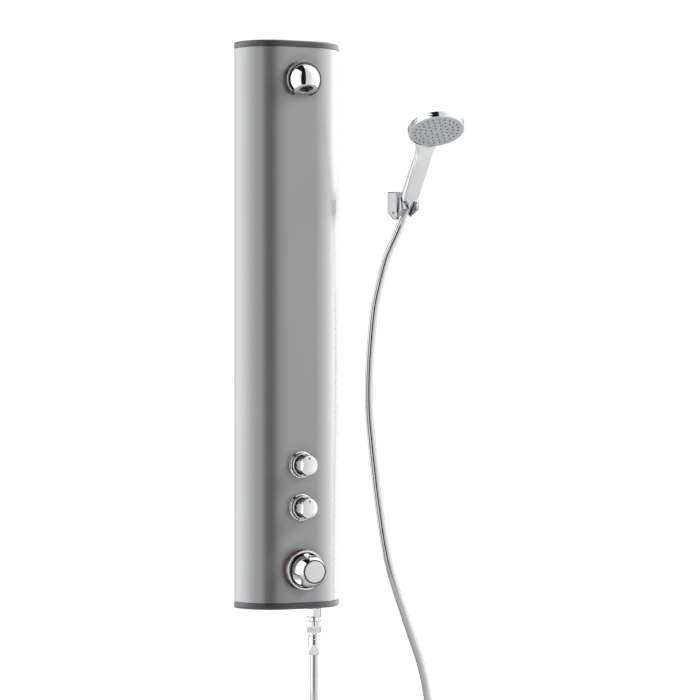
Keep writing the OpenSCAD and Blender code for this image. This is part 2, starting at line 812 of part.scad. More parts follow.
// Places a piece on the cut face's axis, +Z out of the cut
module on_cut() {
    on_face(head_z) translate([0, 0, ball_out]) rotate([90 - cut_tilt, 0, 0]) children();
}
module below_cut() {
    side = 4 * ball_r;
    on_cut() translate([-side / 2, -side / 2, cut_at]) cube([side, side, side]);
}

module head_collar() {
    collar_r = ball_r + slip_gap + collar_wall;
    edge = 1.6;
    color("gainsboro") difference() {
        on_face(head_z) rotate_extrude($fn = 72) union() {
            translate([ball_r + slip_gap, 0]) square([collar_wall, collar_h - edge]);
            translate([ball_r + slip_gap, 0]) square([collar_wall - edge, collar_h]);
            translate([collar_r - edge, collar_h - edge]) circle(r = edge);
        }
        below_cut();
    }
}

// Chromed ball with its slanted cut and a socket for the spray insert
module head_ball() {
    color("gainsboro") difference() {
        on_face(head_z) intersection() {
            translate([0, 0, ball_out]) sphere(r = ball_r, $fn = 96);
            cylinder(r = ball_r + 1, h = 2 * ball_r + ball_out);
        }
        below_cut();
        on_face(head_z) translate([0, 0, -1]) cylinder(r = elbow_neck_r + run_gap, h = 9);
        on_face(head_z) translate([0, 0, -1]) cylinder(r = 5, h = ball_out + 4);
        on_cut() cylinder(r = 4, h = cut_at + 1);
        on_cut() translate([0, spray_forward, cut_at - 7]) cylinder(r = spray_r, h = 8);
    }
}

// Spray insert: cup with a swirl ring, sunk a little into the cut face
module head_nozzle() {
    color("darkgray") on_cut() translate([0, spray_forward, cut_at - 7]) difference() {
        cylinder(r = spray_r - run_gap, h = 6.4);
        translate([0, 0, 3.5]) cylinder(r1 = spray_r - 3.4, r2 = spray_r - 1.6, h = 3);
        translate([0, 0, -1]) cylinder(r = 2.4, h = 9);
        for (i = [0 : 7]) rotate(i * 45) translate([6, 0, -1]) cylinder(r = 1, h = 9);
    }
}

// Threaded stub through the bottom cap, with a flange inside and a pipe socket
module outlet_stub() {
    up = cap_h;
    color("goldenrod") at_outlet(0) difference() {
        union() {
            translate([0, 0, -6]) cylinder(r = thread_r, h = 6 + up + 1);
            translate([0, 0, up]) cylinder(r = thread_r + 3, h = 4);
            translate([0, 0, up]) cylinder(r = hose_pipe_r + 2.6, h = 14);
        }
        translate([0, 0, -7]) cylinder(r = hose_pipe_r - 1, h = 7 + up + 15);
        translate([0, 0, up + 8]) cylinder(r = hose_pipe_r + run_gap, h = 7);
    }
}

module outlet_nut() {
    color("gainsboro") at_outlet(0.2 + nut_h) difference() {
        intersection() {
            cylinder(r = nut_af / 2 / cos(30), h = nut_h, $fn = 6);
            cylinder(r1 = nut_af / 2 - 0.5, r2 = nut_af / 2 + nut_h, h = nut_h + 1);
            cylinder(r2 = nut_af / 2 + 0.8, r1 = nut_af / 2 + nut_h, h = nut_h);
        }
        translate([0, 0, 4]) cylinder(r = thread_r + run_gap, h = nut_h);
        translate([0, 0, -1]) cylinder(r = coupler_neck_r + run_gap, h = nut_h);
    }
}

// Fixed half of the quick coupling: flange in the nut, neck, spring ring, socket
module coupler_body() {
    top = 6.3;
    color("gainsboro") at_outlet(0) difference() {
        union() {
            translate([0, 0, -nut_h + 4]) cylinder(r = thread_r - 0.4, h = nut_h - 4 - top);
            translate([0, 0, -sleeve_mid]) cylinder(r = coupler_neck_r, h = sleeve_mid - top);
            translate([0, 0, -body_end]) cylinder(r = sleeve_body_r, h = body_end - sleeve_top);
            translate([0, 0, -sleeve_top - 2.2]) cylinder(r = sleeve_well_r - 0.3, h = 2);
        }
        translate([0, 0, -body_end - 1]) cylinder(r = coupler_bore_r + run_gap, h = 21);
        translate([0, 0, -body_end - 1]) cylinder(r = 4.5, h = body_end);
    }
}
sleeve_body_r = 9;
sleeve_well_r = 11.7;

// Sleeve of the coupling: pushed up against its spring it frees the plug
module coupler_sleeve() {
    low_r = sleeve_r - 1.6;
    ribs = 24;
    color("gainsboro") at_outlet(0) difference() {
        union() {
            translate([0, 0, -sleeve_mid]) cylinder(r = sleeve_r, h = sleeve_mid - sleeve_top);
            translate([0, 0, -sleeve_end]) cylinder(r = low_r, h = sleeve_end - sleeve_top - 1);
        }
        translate([0, 0, -sleeve_end - 1]) cylinder(r = sleeve_body_r + 0.1, h = 30);
        translate([0, 0, -sleeve_mid + 1.5]) cylinder(r = sleeve_well_r, h = 20);
        for (i = [0 : ribs - 1]) rotate(i * 360 / ribs) translate([sleeve_r + 0.5, 0, -sleeve_mid - 1])
            cylinder(r = 0.9, h = 20, $fn = 16);
    }
}

module coupler_spring() {
    top = sleeve_top + 2.3;
    low = sleeve_mid - 1.6;
    color("silver") at_outlet(low) coil(10.3, 0.5, low - top, 4);
}

// Loose half of the coupling, plugged into the body and screwed to the hose nut
module coupler_plug() {
    color("gainsboro") at_outlet(0) difference() {
        union() {
            translate([0, 0, -flange_top]) cylinder(r = coupler_bore_r, h = flange_top - 29);
            translate([0, 0, -flange_top]) cylinder(r = 8.2, h = flange_top - body_end - 0.2);
            translate([0, 0, -flange_top - 1]) cylinder(r1 = 10.4, r2 = 9.2, h = 1);
            translate([0, 0, -flange_end]) cylinder(r = 10.4, h = flange_end - flange_top - 1);
            translate([0, 0, -hose_in]) cylinder(r = hose_r + 0.2, h = hose_in - flange_end + 1);
        }
        translate([0, 0, -hose_in - 1]) cylinder(r = 4, h = 60);
        translate([0, 0, -34]) ring(coupler_bore_r + 1, coupler_bore_r - 1.2, 2);
    }
}

// Tapered hose nut: upper cavity on the plug's thread, lower bore for the hose
module lower_hose_nut() {
    color("gainsboro") at_outlet(cone_end) difference() {
        union() {
            translate([0, 0, 1]) cylinder(r1 = 8.6, r2 = 10.7, h = cone_end - flange_end - 1.1);
            cylinder(r1 = 7.8, r2 = 8.6, h = 1);
        }
        translate([0, 0, -1]) cylinder(r = hose_r + slip_gap, h = 40);
    }
}

// Points of a smooth line through the route, two steps to each stretch
function spline_point(a, b, c, d, t) = 0.5 * (2 * b + (c - a) * t
    + (2 * a - 5 * b + 4 * c - d) * t * t + (3 * b - a - 3 * c + d) * t * t * t);
function smooth(p, steps) = let (n = len(p),
    q = concat([2 * p[0] - p[1]], p, [2 * p[n - 1] - p[n - 2]]))
    concat([for (i = [0 : n - 2]) for (k = [0 : steps - 1])
        spline_point(q[i], q[i + 1], q[i + 2], q[i + 3], k / steps)], [p[n - 1]]);

// Frames carried along a path without twist, and the rings that they hold
function unit(v) = v / norm(v);
function heading(p, i) = unit(p[min(i + 1, len(p) - 1)] - p[max(i - 1, 0)]);
function flatten_to(v, t) = unit(v - (v * t) * t);
function sides_of(p, i, v) = i >= len(p) ? []
    : let (t = heading(p, i), s = flatten_to(v, t)) concat([[s, cross(t, s)]], sides_of(p, i + 1, s));
module sweep(p, r, n) {
    across = sides_of(p, 0, abs(heading(p, 0)[1]) < 0.9 ? [0, 1, 0] : [1, 0, 0]);
    rings = [for (i = [0 : len(p) - 1]) for (k = [0 : n - 1])
        p[i] + r * (cos(k * 360 / n) * across[i][0] + sin(k * 360 / n) * across[i][1])];
    last = (len(p) - 1) * n;
    skin = [for (i = [0 : len(p) - 2]) for (k = [0 : n - 1]) for (half = [0, 1])
        let (a = i * n + k, b = i * n + (k + 1) % n)
        half == 0 ? [a, a + n, b] : [b, a + n, b + n]];
    ends = [for (k = [1 : n - 2]) for (end = [0, 1])
        end == 0 ? [0, k, k + 1] : [last, last + k + 1, last + k]];
    polyhedron(points = rings, faces = concat(skin, ends));
}

module hose() {
    color("silver") sweep(smooth(hose_route, 2), hose_r, 12);
}

module upper_hose_nut() {
    color("gainsboro") on_handle() translate([0, 0, -nut_l]) difference() {
        union() {
            cylinder(r1 = nut_low_r, r2 = nut_top_r, h = nut_l - 7);
            translate([0, 0, nut_l - 7]) cylinder(r = nut_top_r, h = 6.9);
        }
        translate([0, 0, -1]) cylinder(r = hose_r + slip_gap, h = nut_l + 2);
    }
}

// Cross-section of the handle: an oval with a flat front
module handle_plan(w, d, flat) {
    intersection() {
        resize([2 * w, 2 * d]) circle(r = w, $fn = 48);
        translate([-w, -flat]) square([2 * w, flat + d]);
    }
}

// Stations of the handle: height and shift as shares of its reach to the spray face,
// half width, half depth and depth of the flat front as shares of its half width
handle_stations = [[0, 0, 0.95, 0.8, 0.8], [0.09, 0, 1, 0.82, 0.8], [0.3, -0.004, 1, 0.8, 0.72],
    [0.45, -0.011, 1, 0.8, 0.62], [0.6, -0.018, 1.01, 0.7, 0.53], [0.67, -0.005, 1.08, 0.6, 0.5],
    [0.73, 0.02, 1.35, 0.5, 0.48], [0.8, 0.055, 1.6, 0.36, 0.36], [0.88, 0.058, 1.6, 0.3, 0.3]];
handle_duct = [[0, 0, 0], [0, 0, 0.49], [0, 0.045, 0.67], [0, 0.052, 0.83]];

// Hand shower body: a handle lofted into the low domed back of the hollow spray head
module handset_shell() {
    back = -rim_h;
    skin = 0.6;
    color("gainsboro") difference() {
        union() {
            difference() {
                on_handset() for (i = [0 : len(handle_stations) - 2]) hull()
                    for (s = [handle_stations[i], handle_stations[i + 1]])
                        translate([0, s[1] * face_along, s[0] * face_along]) linear_extrude(skin)
                            handle_plan(s[2] * handle_r, s[3] * handle_r, s[4] * handle_r);
                on_spray() translate([0, 0, -trim_h - slip_gap])
                    cylinder(r = head_r + slip_gap, h = head_r + slip_gap);
            }
            on_spray() rotate_extrude($fn = 72) polygon([[0, -face_seat], [face_r, -face_seat],
                [face_r, -trim_h - 0.1], [head_r, -trim_h - 0.1], [head_r, back + 0.8],
                [head_r - 0.8, back], [head_r - 12, back - 4.4], [head_r - 26, back - 9.4],
                [0, back - 12.4]]);
        }
        on_handset() {
            translate([0, 0, -1]) cylinder(r = hose_r + slip_gap, h = handle_bore + 1);
            pipe(handle_duct * face_along, 3.6, 3.7);
        }
        on_spray() translate([0, 0, back - 1]) cylinder(r = face_r - 6.5, h = rim_h);
    }
}

// Trim ring round the spray face
module handset_rim() {
    color("gainsboro") on_spray() rotate_extrude($fn = 72) polygon([[face_r + 0.1, -trim_h],
        [head_r, -trim_h], [head_r, -1.2], [head_r - 1.2, 0], [face_r + 0.1, 0]]);
}

// Puts a shape at every spray nozzle
module at_nozzles() {
    for (i = [0 : len(nozzle_rings) - 1]) for (k = [0 : nozzle_counts[i] - 1])
        rotate(k * 360 / nozzle_counts[i]) translate([nozzle_rings[i], 0, 0]) children();
}

// Soft mat behind the face, its nozzles standing through the face's holes
module nozzle_mat() {
    color("gray") on_spray() {
        translate([0, 0, -3.9]) cylinder(r = face_r - 0.5, h = 1.3);
        translate([0, 0, -2.7]) at_nozzles() cylinder(r1 = nozzle_r - 0.05, r2 = nozzle_r * 0.6, h = 3.2, $fn = 16);
    }
}

module spray_face() {
    color("lightgray") on_spray() translate([0, 0, -2.5]) difference() {
        cylinder(r = face_r, h = 2.3);
        translate([0, 0, -1]) at_nozzles() cylinder(r = nozzle_r, h = 5, $fn = 16);
    }
}

holder_plate_t = 2.5;
module holder_back_plate() {
    color("lightgray") difference() {
        translate([holder_x - 10, -holder_plate_t, post_low + 2.5])
            cube([20, holder_plate_t, post_h - 5]);
        for (end = [-1, 1]) translate([holder_x, 1, post_low + post_h / 2 + end * holder_fix / 2])
            rotate([90, 0, 0]) cylinder(r = 2.25, h = holder_plate_t + 2);
    }
}

// Post of the holder: a block tapered to its front, its round underside rolled down to
// the knuckle, which is slotted for the cradle's tongue
module holder_post() {
    knuckle_r = 12;
    post_d = 26;
    slot_half = tongue_w / 2 + slip_gap;
    nose_w = 2 * slot_half + 4.6;
    corner = 3;
    low = [for (x = [-1, 1]) [x * (post_w / 2 - corner), corner]];
    high = [for (x = [-1, 1]) [x * (post_w / 2 - corner), post_h - corner]];
    color("gainsboro") difference() {
        union() {
            hull() {
                for (c = concat(low, high)) translate([holder_x + c[0], 0, post_low + c[1]])
                    rotate([90, 0, 0]) cylinder(r = corner, h = 1, $fn = 24);
                for (x = [-1, 1]) for (z = [corner + 8, post_h - corner - 1])
                    translate([holder_x + x * (nose_w / 2 - corner), -post_d + 1, post_low + z])
                        rotate([90, 0, 0]) cylinder(r = corner, h = 1, $fn = 24);
            }
            hull() {
                for (c = low) translate([holder_x + c[0], 0, post_low + c[1]])
                    rotate([90, 0, 0]) cylinder(r = corner, h = 1, $fn = 24);
                translate([holder_x - nose_w / 2, pivot[1], pivot[2]]) rotate([0, 90, 0])
                    cylinder(r = knuckle_r, h = nose_w, $fn = 64);
            }
        }
        translate([holder_x - 10.3, -holder_plate_t - 0.1, post_low + 2.2])
            cube([20.6, holder_plate_t + 1, post_h - 4.4]);
        translate([holder_x - slot_half, pivot[1] - knuckle_r - 1, pivot[2] - knuckle_r - 1])
            cube([2 * slot_half, knuckle_r + 1, post_h]);
        translate([holder_x, pivot[1], pivot[2]]) rotate([0, 90, 0])
            cylinder(r = 10.5, h = 2 * slot_half, center = true);
        translate([holder_x - post_w, pivot[1], pivot[2]]) rotate([0, 90, 0])
            cylinder(r = pin_r + run_gap, h = 2 * post_w);
    }
}

module tilt_pin() {
    color("gray") translate([holder_x, pivot[1], pivot[2]]) rotate([0, 90, 0])
        cylinder(r = pin_r, h = tongue_w + 5, center = true);
}

// Cradle: an upright cup with a cone for the hose nut, open at the front, and a tongue
// to the tilt pin
module cradle() {
    cup_h = cup_high - cup_low;
    taper = (nut_top_r - nut_low_r) / (nut_l - 7);
    bore_low = nut_low_r + slip_gap + (nut_l + cup_low) * taper;
    bore_high = nut_top_r + slip_gap;
    color("silver") difference() {
        union() {
            hull() {
                on_handle() translate([0, -2, cup_high - 1]) cylinder(r = cradle_r, h = 1);
                on_handle() translate([0, 0, cup_low]) cylinder(r = cradle_r - 4, h = 1);
                translate([holder_x, seat[1], post_low + 5]) cylinder(r = cradle_r - 0.5, h = 1);
            }
            hull() {
                translate([holder_x, pivot[1], pivot[2]]) rotate([0, 90, 0])
                    cylinder(r = 8.5, h = tongue_w, center = true, $fn = 32);
                on_handle() translate([0, 10, cup_low + 7]) rotate([0, 90, 0])
                    cylinder(r = 5, h = tongue_w, center = true, $fn = 32);
            }
        }
        on_handle() translate([0, 0, cup_low - 1]) {
            cylinder(r = bore_low, h = 40);
            translate([0, 0, 1]) cylinder(r1 = bore_low, r2 = bore_high, h = nut_l - 7 - (nut_l + cup_low));
            translate([0, 0, cup_h - cup_high - 6]) cylinder(r = bore_high, h = 20);
            translate([-slot_w / 2, -2 * cradle_r, -cradle_r])
                cube([slot_w, 2 * cradle_r, 4 * cradle_r]);
            translate([0, 0, -30]) cylinder(r = bore_low, h = 40);
        }
        translate([holder_x, pivot[1], pivot[2]]) rotate([0, 90, 0])
            cylinder(r = pin_r + run_gap, h = 40, center = true);
    }
}

panel_casing();
top_cap();
bottom_cap();
cap_screws();
upper_wall_bracket();
lower_wall_bracket();
mixer_body();
mixer_lock_nut();
thermostatic_cartridge();
cartridge_nut();
temperature_spindle();
hot_cold_ring();
mixer_rosette();
temperature_knob();
knob_cover();
cover_ring();
knob_screw();
safety_button();
button_spring();
hot_inlet();
cold_inlet();
check_valves();
valve_block();
valve_lock_nuts();
upper_valve_cartridge();
lower_valve_cartridge();
upper_spindle();
lower_spindle();
upper_rosette();
lower_rosette();
upper_knob();
lower_knob();
upper_index_dot();
lower_index_dot();
mixed_water_pipe();
riser_pipe();
hose_pipe();
head_elbow();
head_collar();
head_ball();
head_nozzle();
outlet_stub();
outlet_nut();
coupler_body();
coupler_sleeve();
coupler_spring();
coupler_plug();
lower_hose_nut();
hose();
upper_hose_nut();
handset_shell();
handset_rim();
nozzle_mat();
spray_face();
holder_back_plate();
holder_post();
tilt_pin();
cradle();
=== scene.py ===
import math

import bpy
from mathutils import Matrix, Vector


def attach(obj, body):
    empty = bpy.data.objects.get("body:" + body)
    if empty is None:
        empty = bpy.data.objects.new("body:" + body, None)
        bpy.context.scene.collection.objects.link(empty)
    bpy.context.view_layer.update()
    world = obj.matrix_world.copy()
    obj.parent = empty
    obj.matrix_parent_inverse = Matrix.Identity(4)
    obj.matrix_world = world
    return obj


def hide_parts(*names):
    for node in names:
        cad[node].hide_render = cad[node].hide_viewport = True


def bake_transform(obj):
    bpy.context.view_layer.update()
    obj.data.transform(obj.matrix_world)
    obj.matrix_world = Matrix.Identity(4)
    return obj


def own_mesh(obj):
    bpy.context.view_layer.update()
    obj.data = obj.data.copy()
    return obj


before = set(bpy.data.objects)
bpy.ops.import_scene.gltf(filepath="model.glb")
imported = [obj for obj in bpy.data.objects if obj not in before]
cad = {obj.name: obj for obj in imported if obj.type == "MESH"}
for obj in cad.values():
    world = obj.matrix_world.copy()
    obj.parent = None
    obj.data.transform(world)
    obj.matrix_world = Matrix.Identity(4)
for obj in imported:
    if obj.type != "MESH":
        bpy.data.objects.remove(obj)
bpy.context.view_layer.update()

scene = bpy.context.scene

# ---- Camera
# A long lens, level, a little to the left of the panel, as in the product photo. The wall
# is the plane y = 0, the front of the panel looks along -Y and +Z is up.
camera_data = bpy.data.cameras.new("camera")
camera_data.lens = 135
camera_data.sensor_width = 36
camera = bpy.data.objects.new("camera", camera_data)
scene.collection.objects.link(camera)
camera.location = (-1.8729, -4.2904, -0.0443)
camera.rotation_euler = (math.radians(90), 0, math.radians(-25))
scene.camera = camera

# ---- Panel casing
# One extruded aluminium section: a flat front between two quarter rounds, folded lips at
# the wall and four screw ports inside. Satin anodised, with the faint lines of the die.
# Lengths are written in millimetres and scaled where they enter a mesh.
mm = 0.001
body_w, body_d, body_h, cap_h = 196, 72, 1000, 12
wall, lip, fold = 2.5, 12, 0.2
flat_half = body_w / 2 - body_d
case_half = body_h / 2 - cap_h
head_z, upper_z, lower_z, mixer_z = 430, -246, -321, -430
head_bore, valve_bore, mixer_bore = 9.8, 12.8, 20.3
inlet_window = (178, 8, 32)
port_reach, port_angles = 64.5, (24, 38)
port_hole, port_r = 1.7, 5.2
front, upward = (0, -1, 0), (0, 0, 1)


def nothing_selected():
    """Leaves edit mode and deselects every object, the CAD nodes included."""
    if bpy.context.object and bpy.context.object.mode != "OBJECT":
        bpy.ops.object.mode_set(mode="OBJECT")
    bpy.ops.object.select_all(action="DESELECT")


def only(piece):
    """Selects one object and makes it the active one."""
    nothing_selected()
    piece.select_set(True)
    bpy.context.view_layer.objects.active = piece
    return piece


def drawn(name, points, closed=False):
    """A line of vertices extruded one by one through the points, in millimetres."""
    nothing_selected()
    bpy.ops.mesh.primitive_plane_add(size=mm, location=(0, 0, 0))
    piece = bpy.context.object
    piece.name = piece.data.name = name
    bpy.ops.object.mode_set(mode="EDIT")
    bpy.ops.mesh.select_mode(type="VERT")
    bpy.ops.mesh.select_all(action="SELECT")
    bpy.ops.mesh.merge(type="CENTER")
    bpy.ops.transform.translate(value=Vector(points[0]) * mm)
    for a, b in zip(points, points[1:]):
        step = (Vector(b) - Vector(a)) * mm
        bpy.ops.mesh.extrude_region_move(TRANSFORM_OT_translate={"value": step})
    if closed:
        last = (Vector(points[0]) - Vector(points[-1])) * mm
        bpy.ops.mesh.extrude_region_move(TRANSFORM_OT_translate={"value": last})
        bpy.ops.mesh.select_all(action="SELECT")
        bpy.ops.mesh.remove_doubles(threshold=1e-6)
    bpy.ops.mesh.select_all(action="SELECT")
    return piece


def closed_up(piece):
    """Merges doubles, turns the faces outwards and leaves edit mode."""
    bpy.ops.mesh.select_all(action="SELECT")
    bpy.ops.mesh.remove_doubles(threshold=2e-6)
    bpy.ops.mesh.normals_make_consistent(inside=False)
    bpy.ops.object.mode_set(mode="OBJECT")
    return piece


def arc(centre, radius, start, end, steps):
    """Points of an arc in a plane, angles in degrees."""
    turns = [math.radians(start + (end - start) * i / steps) for i in range(steps + 1)]
    return [(centre[0] + radius * math.cos(t), centre[1] + radius * math.sin(t)) for t in turns]


def raised(name, plan, foot, height):
    """A closed plan of (x, y) points raised to a solid from the height of its foot."""
    piece = drawn(name, [(x, y, foot) for x, y in plan], closed=True)
    bpy.ops.mesh.edge_face_add()
    bpy.ops.mesh.extrude_region_move(TRANSFORM_OT_translate={"value": (0, 0, height * mm)})
    return closed_up(piece)


def outline(inset=0, steps=40):
    """Plan of the panel from the left wall edge round the front to the right wall edge."""
    r = body_d - inset
    left = arc((-flat_half, 0), r, 180, 270, steps)
    right = arc((flat_half, 0), r, 270, 360, steps)
    strip = [(x, -r) for x in (-flat_half + 2, flat_half - 2)]
    return left + strip + right


def port_spots():
    """Places of the four screw ports in the plan."""
    spots = []
    for side in (-1, 1):
        for turn in (math.radians(a) for a in port_angles):
            spots.append((side * (flat_half + port_reach * math.sin(turn)),
                          -port_reach * math.cos(turn)))
    return spots


def on_front(z, out=0):
    """A point on the panel's flat front, or that far in front of it."""
    return (0, -body_d - out, z)


def turned(name, profile, foot, axis, ring=False, steps=96):
    """A half profile of (radius, height) points spun round an axis through foot."""
    axis = Vector(axis).normalized()
    side = axis.orthogonal().normalized()
    spots = [Vector(foot) + axis * h + side * r for r, h in profile]
    piece = drawn(name, spots, closed=ring)
    bpy.ops.mesh.spin(steps=steps, angle=math.tau, center=Vector(foot) * mm, axis=axis)
    return closed_up(piece)


def rod(name, radius, start, end, foot, axis, steps=96):
    """A round bar, or the tool for a bore, from start to end along an axis through foot."""
    return turned(name, [(0, start), (radius, start), (radius, end), (0, end)], foot, axis,
                  steps=steps)


def applied(piece, kind, **settings):
    """Adds one modifier, sets it up and applies it."""
    only(piece)
    modifier = piece.modifiers.new(kind.title(), kind)
    for key, value in settings.items():
        setattr(modifier, key, value)
    bpy.ops.object.modifier_apply(modifier=modifier.name)
    return piece


def cut(piece, tool, operation="DIFFERENCE"):
    """Cuts a piece with another mesh, which is then deleted."""
    applied(piece, "BOOLEAN", object=tool, operation=operation, solver="EXACT")
    bpy.data.objects.remove(tool)
    return piece


def joined(name, pieces):
    """Several meshes made into one piece."""
    nothing_selected()
    for piece in pieces:
        piece.select_set(True)
    bpy.context.view_layer.objects.active = pieces[0]
    bpy.ops.object.join()
    pieces[0].name = pieces[0].data.name = name
    return pieces[0]


def smoothed(piece, angle=32):
    """Smooth faces, with edges sharper than the angle left sharp."""
    only(piece)
    bpy.ops.object.shade_smooth_by_angle(angle=math.radians(angle), keep_sharp_edges=False)
    return piece


def fitted(piece, material, body, slot, *nodes):
    """Gives a piece its finish, the body it moves with and the CAD nodes it stands for."""
    piece.data.materials.clear()
    piece.data.materials.append(material)
    smoothed(piece)
    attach(piece, body)
    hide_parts(*nodes)
    return piece


def tooling_marks():
    """Group with the fine grain and faint smudges that a worked surface shows."""
    group = bpy.data.node_groups.get("tooling_marks")
    if group:
        return group
    group = bpy.data.node_groups.new("tooling_marks", "ShaderNodeTree")
    face = group.interface
    face.new_socket("Grain", in_out="INPUT", socket_type="NodeSocketVector")
    for title in ("Smooth", "Rough", "Tone"):
        face.new_socket(title, in_out="INPUT", socket_type="NodeSocketFloat")
    face.new_socket("Colour", in_out="INPUT", socket_type="NodeSocketColor")
    face.new_socket("Colour", in_out="OUTPUT", socket_type="NodeSocketColor")
    face.new_socket("Roughness", in_out="OUTPUT", socket_type="NodeSocketFloat")
    face.new_socket("Height", in_out="OUTPUT", socket_type="NodeSocketFloat")
    nodes, links = group.nodes, group.links
    given, result = nodes.new("NodeGroupInput"), nodes.new("NodeGroupOutput")
    spot = nodes.new("ShaderNodeTexCoord")
    stretch = nodes.new("ShaderNodeVectorMath")
    stretch.operation = "MULTIPLY"
    links.new(spot.outputs["Object"], stretch.inputs[0])
    links.new(given.outputs["Grain"], stretch.inputs[1])
    grain = nodes.new("ShaderNodeTexNoise")
    grain.inputs["Scale"].default_value = 1.0
    grain.inputs["Detail"].default_value = 4.0
    links.new(stretch.outputs[0], grain.inputs["Vector"])
    smudge = nodes.new("ShaderNodeTexNoise")
    smudge.inputs["Scale"].default_value = 14.0
    smudge.inputs["Detail"].default_value = 3.0
    links.new(spot.outputs["Object"], smudge.inputs["Vector"])
    both = nodes.new("ShaderNodeMath")
    both.operation = "MULTIPLY_ADD"
    both.inputs[1].default_value = 0.5
    links.new(grain.outputs["Fac"], both.inputs[0])
    half = nodes.new("ShaderNodeMath")
    half.operation = "MULTIPLY"
    half.inputs[1].default_value = 0.5
    links.new(smudge.outputs["Fac"], half.inputs[0])
    links.new(half.outputs[0], both.inputs[2])
    spread = nodes.new("ShaderNodeMapRange")
    spread.inputs["From Min"].default_value = 0.3
    spread.inputs["From Max"].default_value = 0.7
    links.new(both.outputs[0], spread.inputs["Value"])
    links.new(given.outputs["Smooth"], spread.inputs["To Min"])
    links.new(given.outputs["Rough"], spread.inputs["To Max"])
    darker = nodes.new("ShaderNodeMix")
    darker.data_type = "RGBA"
    darker.blend_type = "MULTIPLY"
    tone = nodes.new("ShaderNodeMath")
    tone.operation = "MULTIPLY"
    links.new(smudge.outputs["Fac"], tone.inputs[0])
    links.new(given.outputs["Tone"], tone.inputs[1])
    links.new(tone.outputs[0], darker.inputs["Factor"])
    links.new(given.outputs["Colour"], darker.inputs["A"])
    darker.inputs["B"].default_value = (0.6, 0.6, 0.6, 1)
    links.new(darker.outputs["Result"], result.inputs["Colour"])
    links.new(spread.outputs["Result"], result.inputs["Roughness"])
    links.new(grain.outputs["Fac"], result.inputs["Height"])
    return group


def finish(name, colour, metallic, rough, grain, tone=0.1, relief=0.02, **sockets):
    """A material whose colour, roughness and relief vary over the surface."""
    material = bpy.data.materials.new(name)
    material.use_nodes = True
    nodes, links = material.node_tree.nodes, material.node_tree.links
    shader = nodes["Principled BSDF"]
    shader.inputs["Metallic"].default_value = metallic
    for socket, value in sockets.items():
        shader.inputs[socket.replace("_", " ")].default_value = value
    marks = nodes.new("ShaderNodeGroup")
    marks.node_tree = tooling_marks()
    marks.inputs["Grain"].default_value = grain
    marks.inputs["Smooth"].default_value, marks.inputs["Rough"].default_value = rough
    marks.inputs["Tone"].default_value = tone
    marks.inputs["Colour"].default_value = (*colour, 1)
    links.new(marks.outputs["Colour"], shader.inputs["Base Color"])
    links.new(marks.outputs["Roughness"], shader.inputs["Roughness"])
    bump = nodes.new("ShaderNodeBump")
    bump.inputs["Strength"].default_value = relief
    bump.inputs["Distance"].default_value = 0.0002
    links.new(marks.outputs["Height"], bump.inputs["Height"])
    links.new(bump.outputs["Normal"], shader.inputs["Normal"])
    return material


inner_half = body_w / 2 - wall
outer_line = [(lip - inner_half, 0)] + outline() + [(inner_half - lip, 0)]
inner_line = ([(lip - inner_half, -wall), (fold - inner_half, -wall)] + outline(wall)[1:-1]
              + [(inner_half - fold, -wall), (inner_half - lip, -wall)])
casing = raised("panel_casing_shell", outer_line + inner_line[::-1], -case_half, 2 * case_half)
port_line = [(port_hole, 0), (port_r, 0), (port_r, 2 * case_half), (port_hole, 2 * case_half)]
ports = [turned("port", port_line, (x, y, -case_half), upward, ring=True, steps=24)
         for x, y in port_spots()]
for z, r in ((head_z, head_bore), (mixer_z, mixer_bore), (lower_z, valve_bore),
             (upper_z, valve_bore)):
    cut(casing, rod("bore", r, -wall - 3, 3, on_front(z), front))
nothing_selected()
bpy.ops.mesh.primitive_cube_add(size=1, location=(0, -0.5 * mm, mixer_z * mm),
                                scale=Vector(inlet_window) * mm)
cut(casing, bpy.context.object)
casing = joined("panel_casing_shell", [casing] + ports)


def painted_corner_shade(material, reach, depth):
    """Paints shade into the colour: darker where another surface stands within reach, by ambient
    occlusion.
    """
    nodes, links = material.node_tree.nodes, material.node_tree.links
    near = nodes.new("ShaderNodeAmbientOcclusion")
    near.samples = 8
    near.inputs["Distance"].default_value = reach * mm
    power = nodes.new("ShaderNodeMath")
    power.operation = "POWER"
    power.inputs[1].default_value = depth
    links.new(near.outputs["AO"], power.inputs[0])
    shade = nodes.new("ShaderNodeMix")
    shade.data_type, shade.blend_type = "RGBA", "MULTIPLY"
    shade.inputs["Factor"].default_value = 1
    links.new(nodes["Group"].outputs["Colour"], shade.inputs["A"])
    links.new(power.outputs[0], shade.inputs["B"])
    links.new(shade.outputs["Result"], nodes["Principled BSDF"].inputs["Base Color"])


def painted_sheen_aslant(material, shallow, steep):
    """Paints a sheen into the colour: lighter where the surface is seen at a shallow angle."""
    nodes, links = material.node_tree.nodes, material.node_tree.links
    weight = nodes.new("ShaderNodeLayerWeight")
    weight.inputs["Blend"].default_value = 0.5
    ramp = nodes.new("ShaderNodeValToRGB")
    ramp.color_ramp.elements[0].position, ramp.color_ramp.elements[1].position = 0.09, 0.45
    ramp.color_ramp.elements[0].color = (*steep, 1)
    ramp.color_ramp.elements[1].color = (*shallow, 1)
    links.new(weight.outputs["Facing"], ramp.inputs["Fac"])
    links.new(ramp.outputs["Color"], nodes["Group"].inputs["Colour"])


aluminium = (0.35, 0.352, 0.357)
anodised = finish("anodised_aluminium", aluminium, 0.6, (0.27, 0.33), (2500, 2500, 6), 0.04, 0.06)
# Painted sheen: the casing's colour is lighter where it is seen at a shallow angle.
painted_sheen_aslant(anodised, (0.58, 0.583, 0.59), aluminium)
# Painted shade: the casing's colour is darker where another surface stands within 20 mm, as beside
# the rosettes and knobs.
painted_corner_shade(anodised, reach=20, depth=0.55)
fitted(casing, anodised, "panel", "anodised_aluminium", "panel_casing")

# ---- Inside the panel
# Brass mixer, valve block and fittings, drawn copper-coloured pipes, stainless brackets on
# the wall, and white plastic cartridges. All are hidden and keep the shape of the solids.


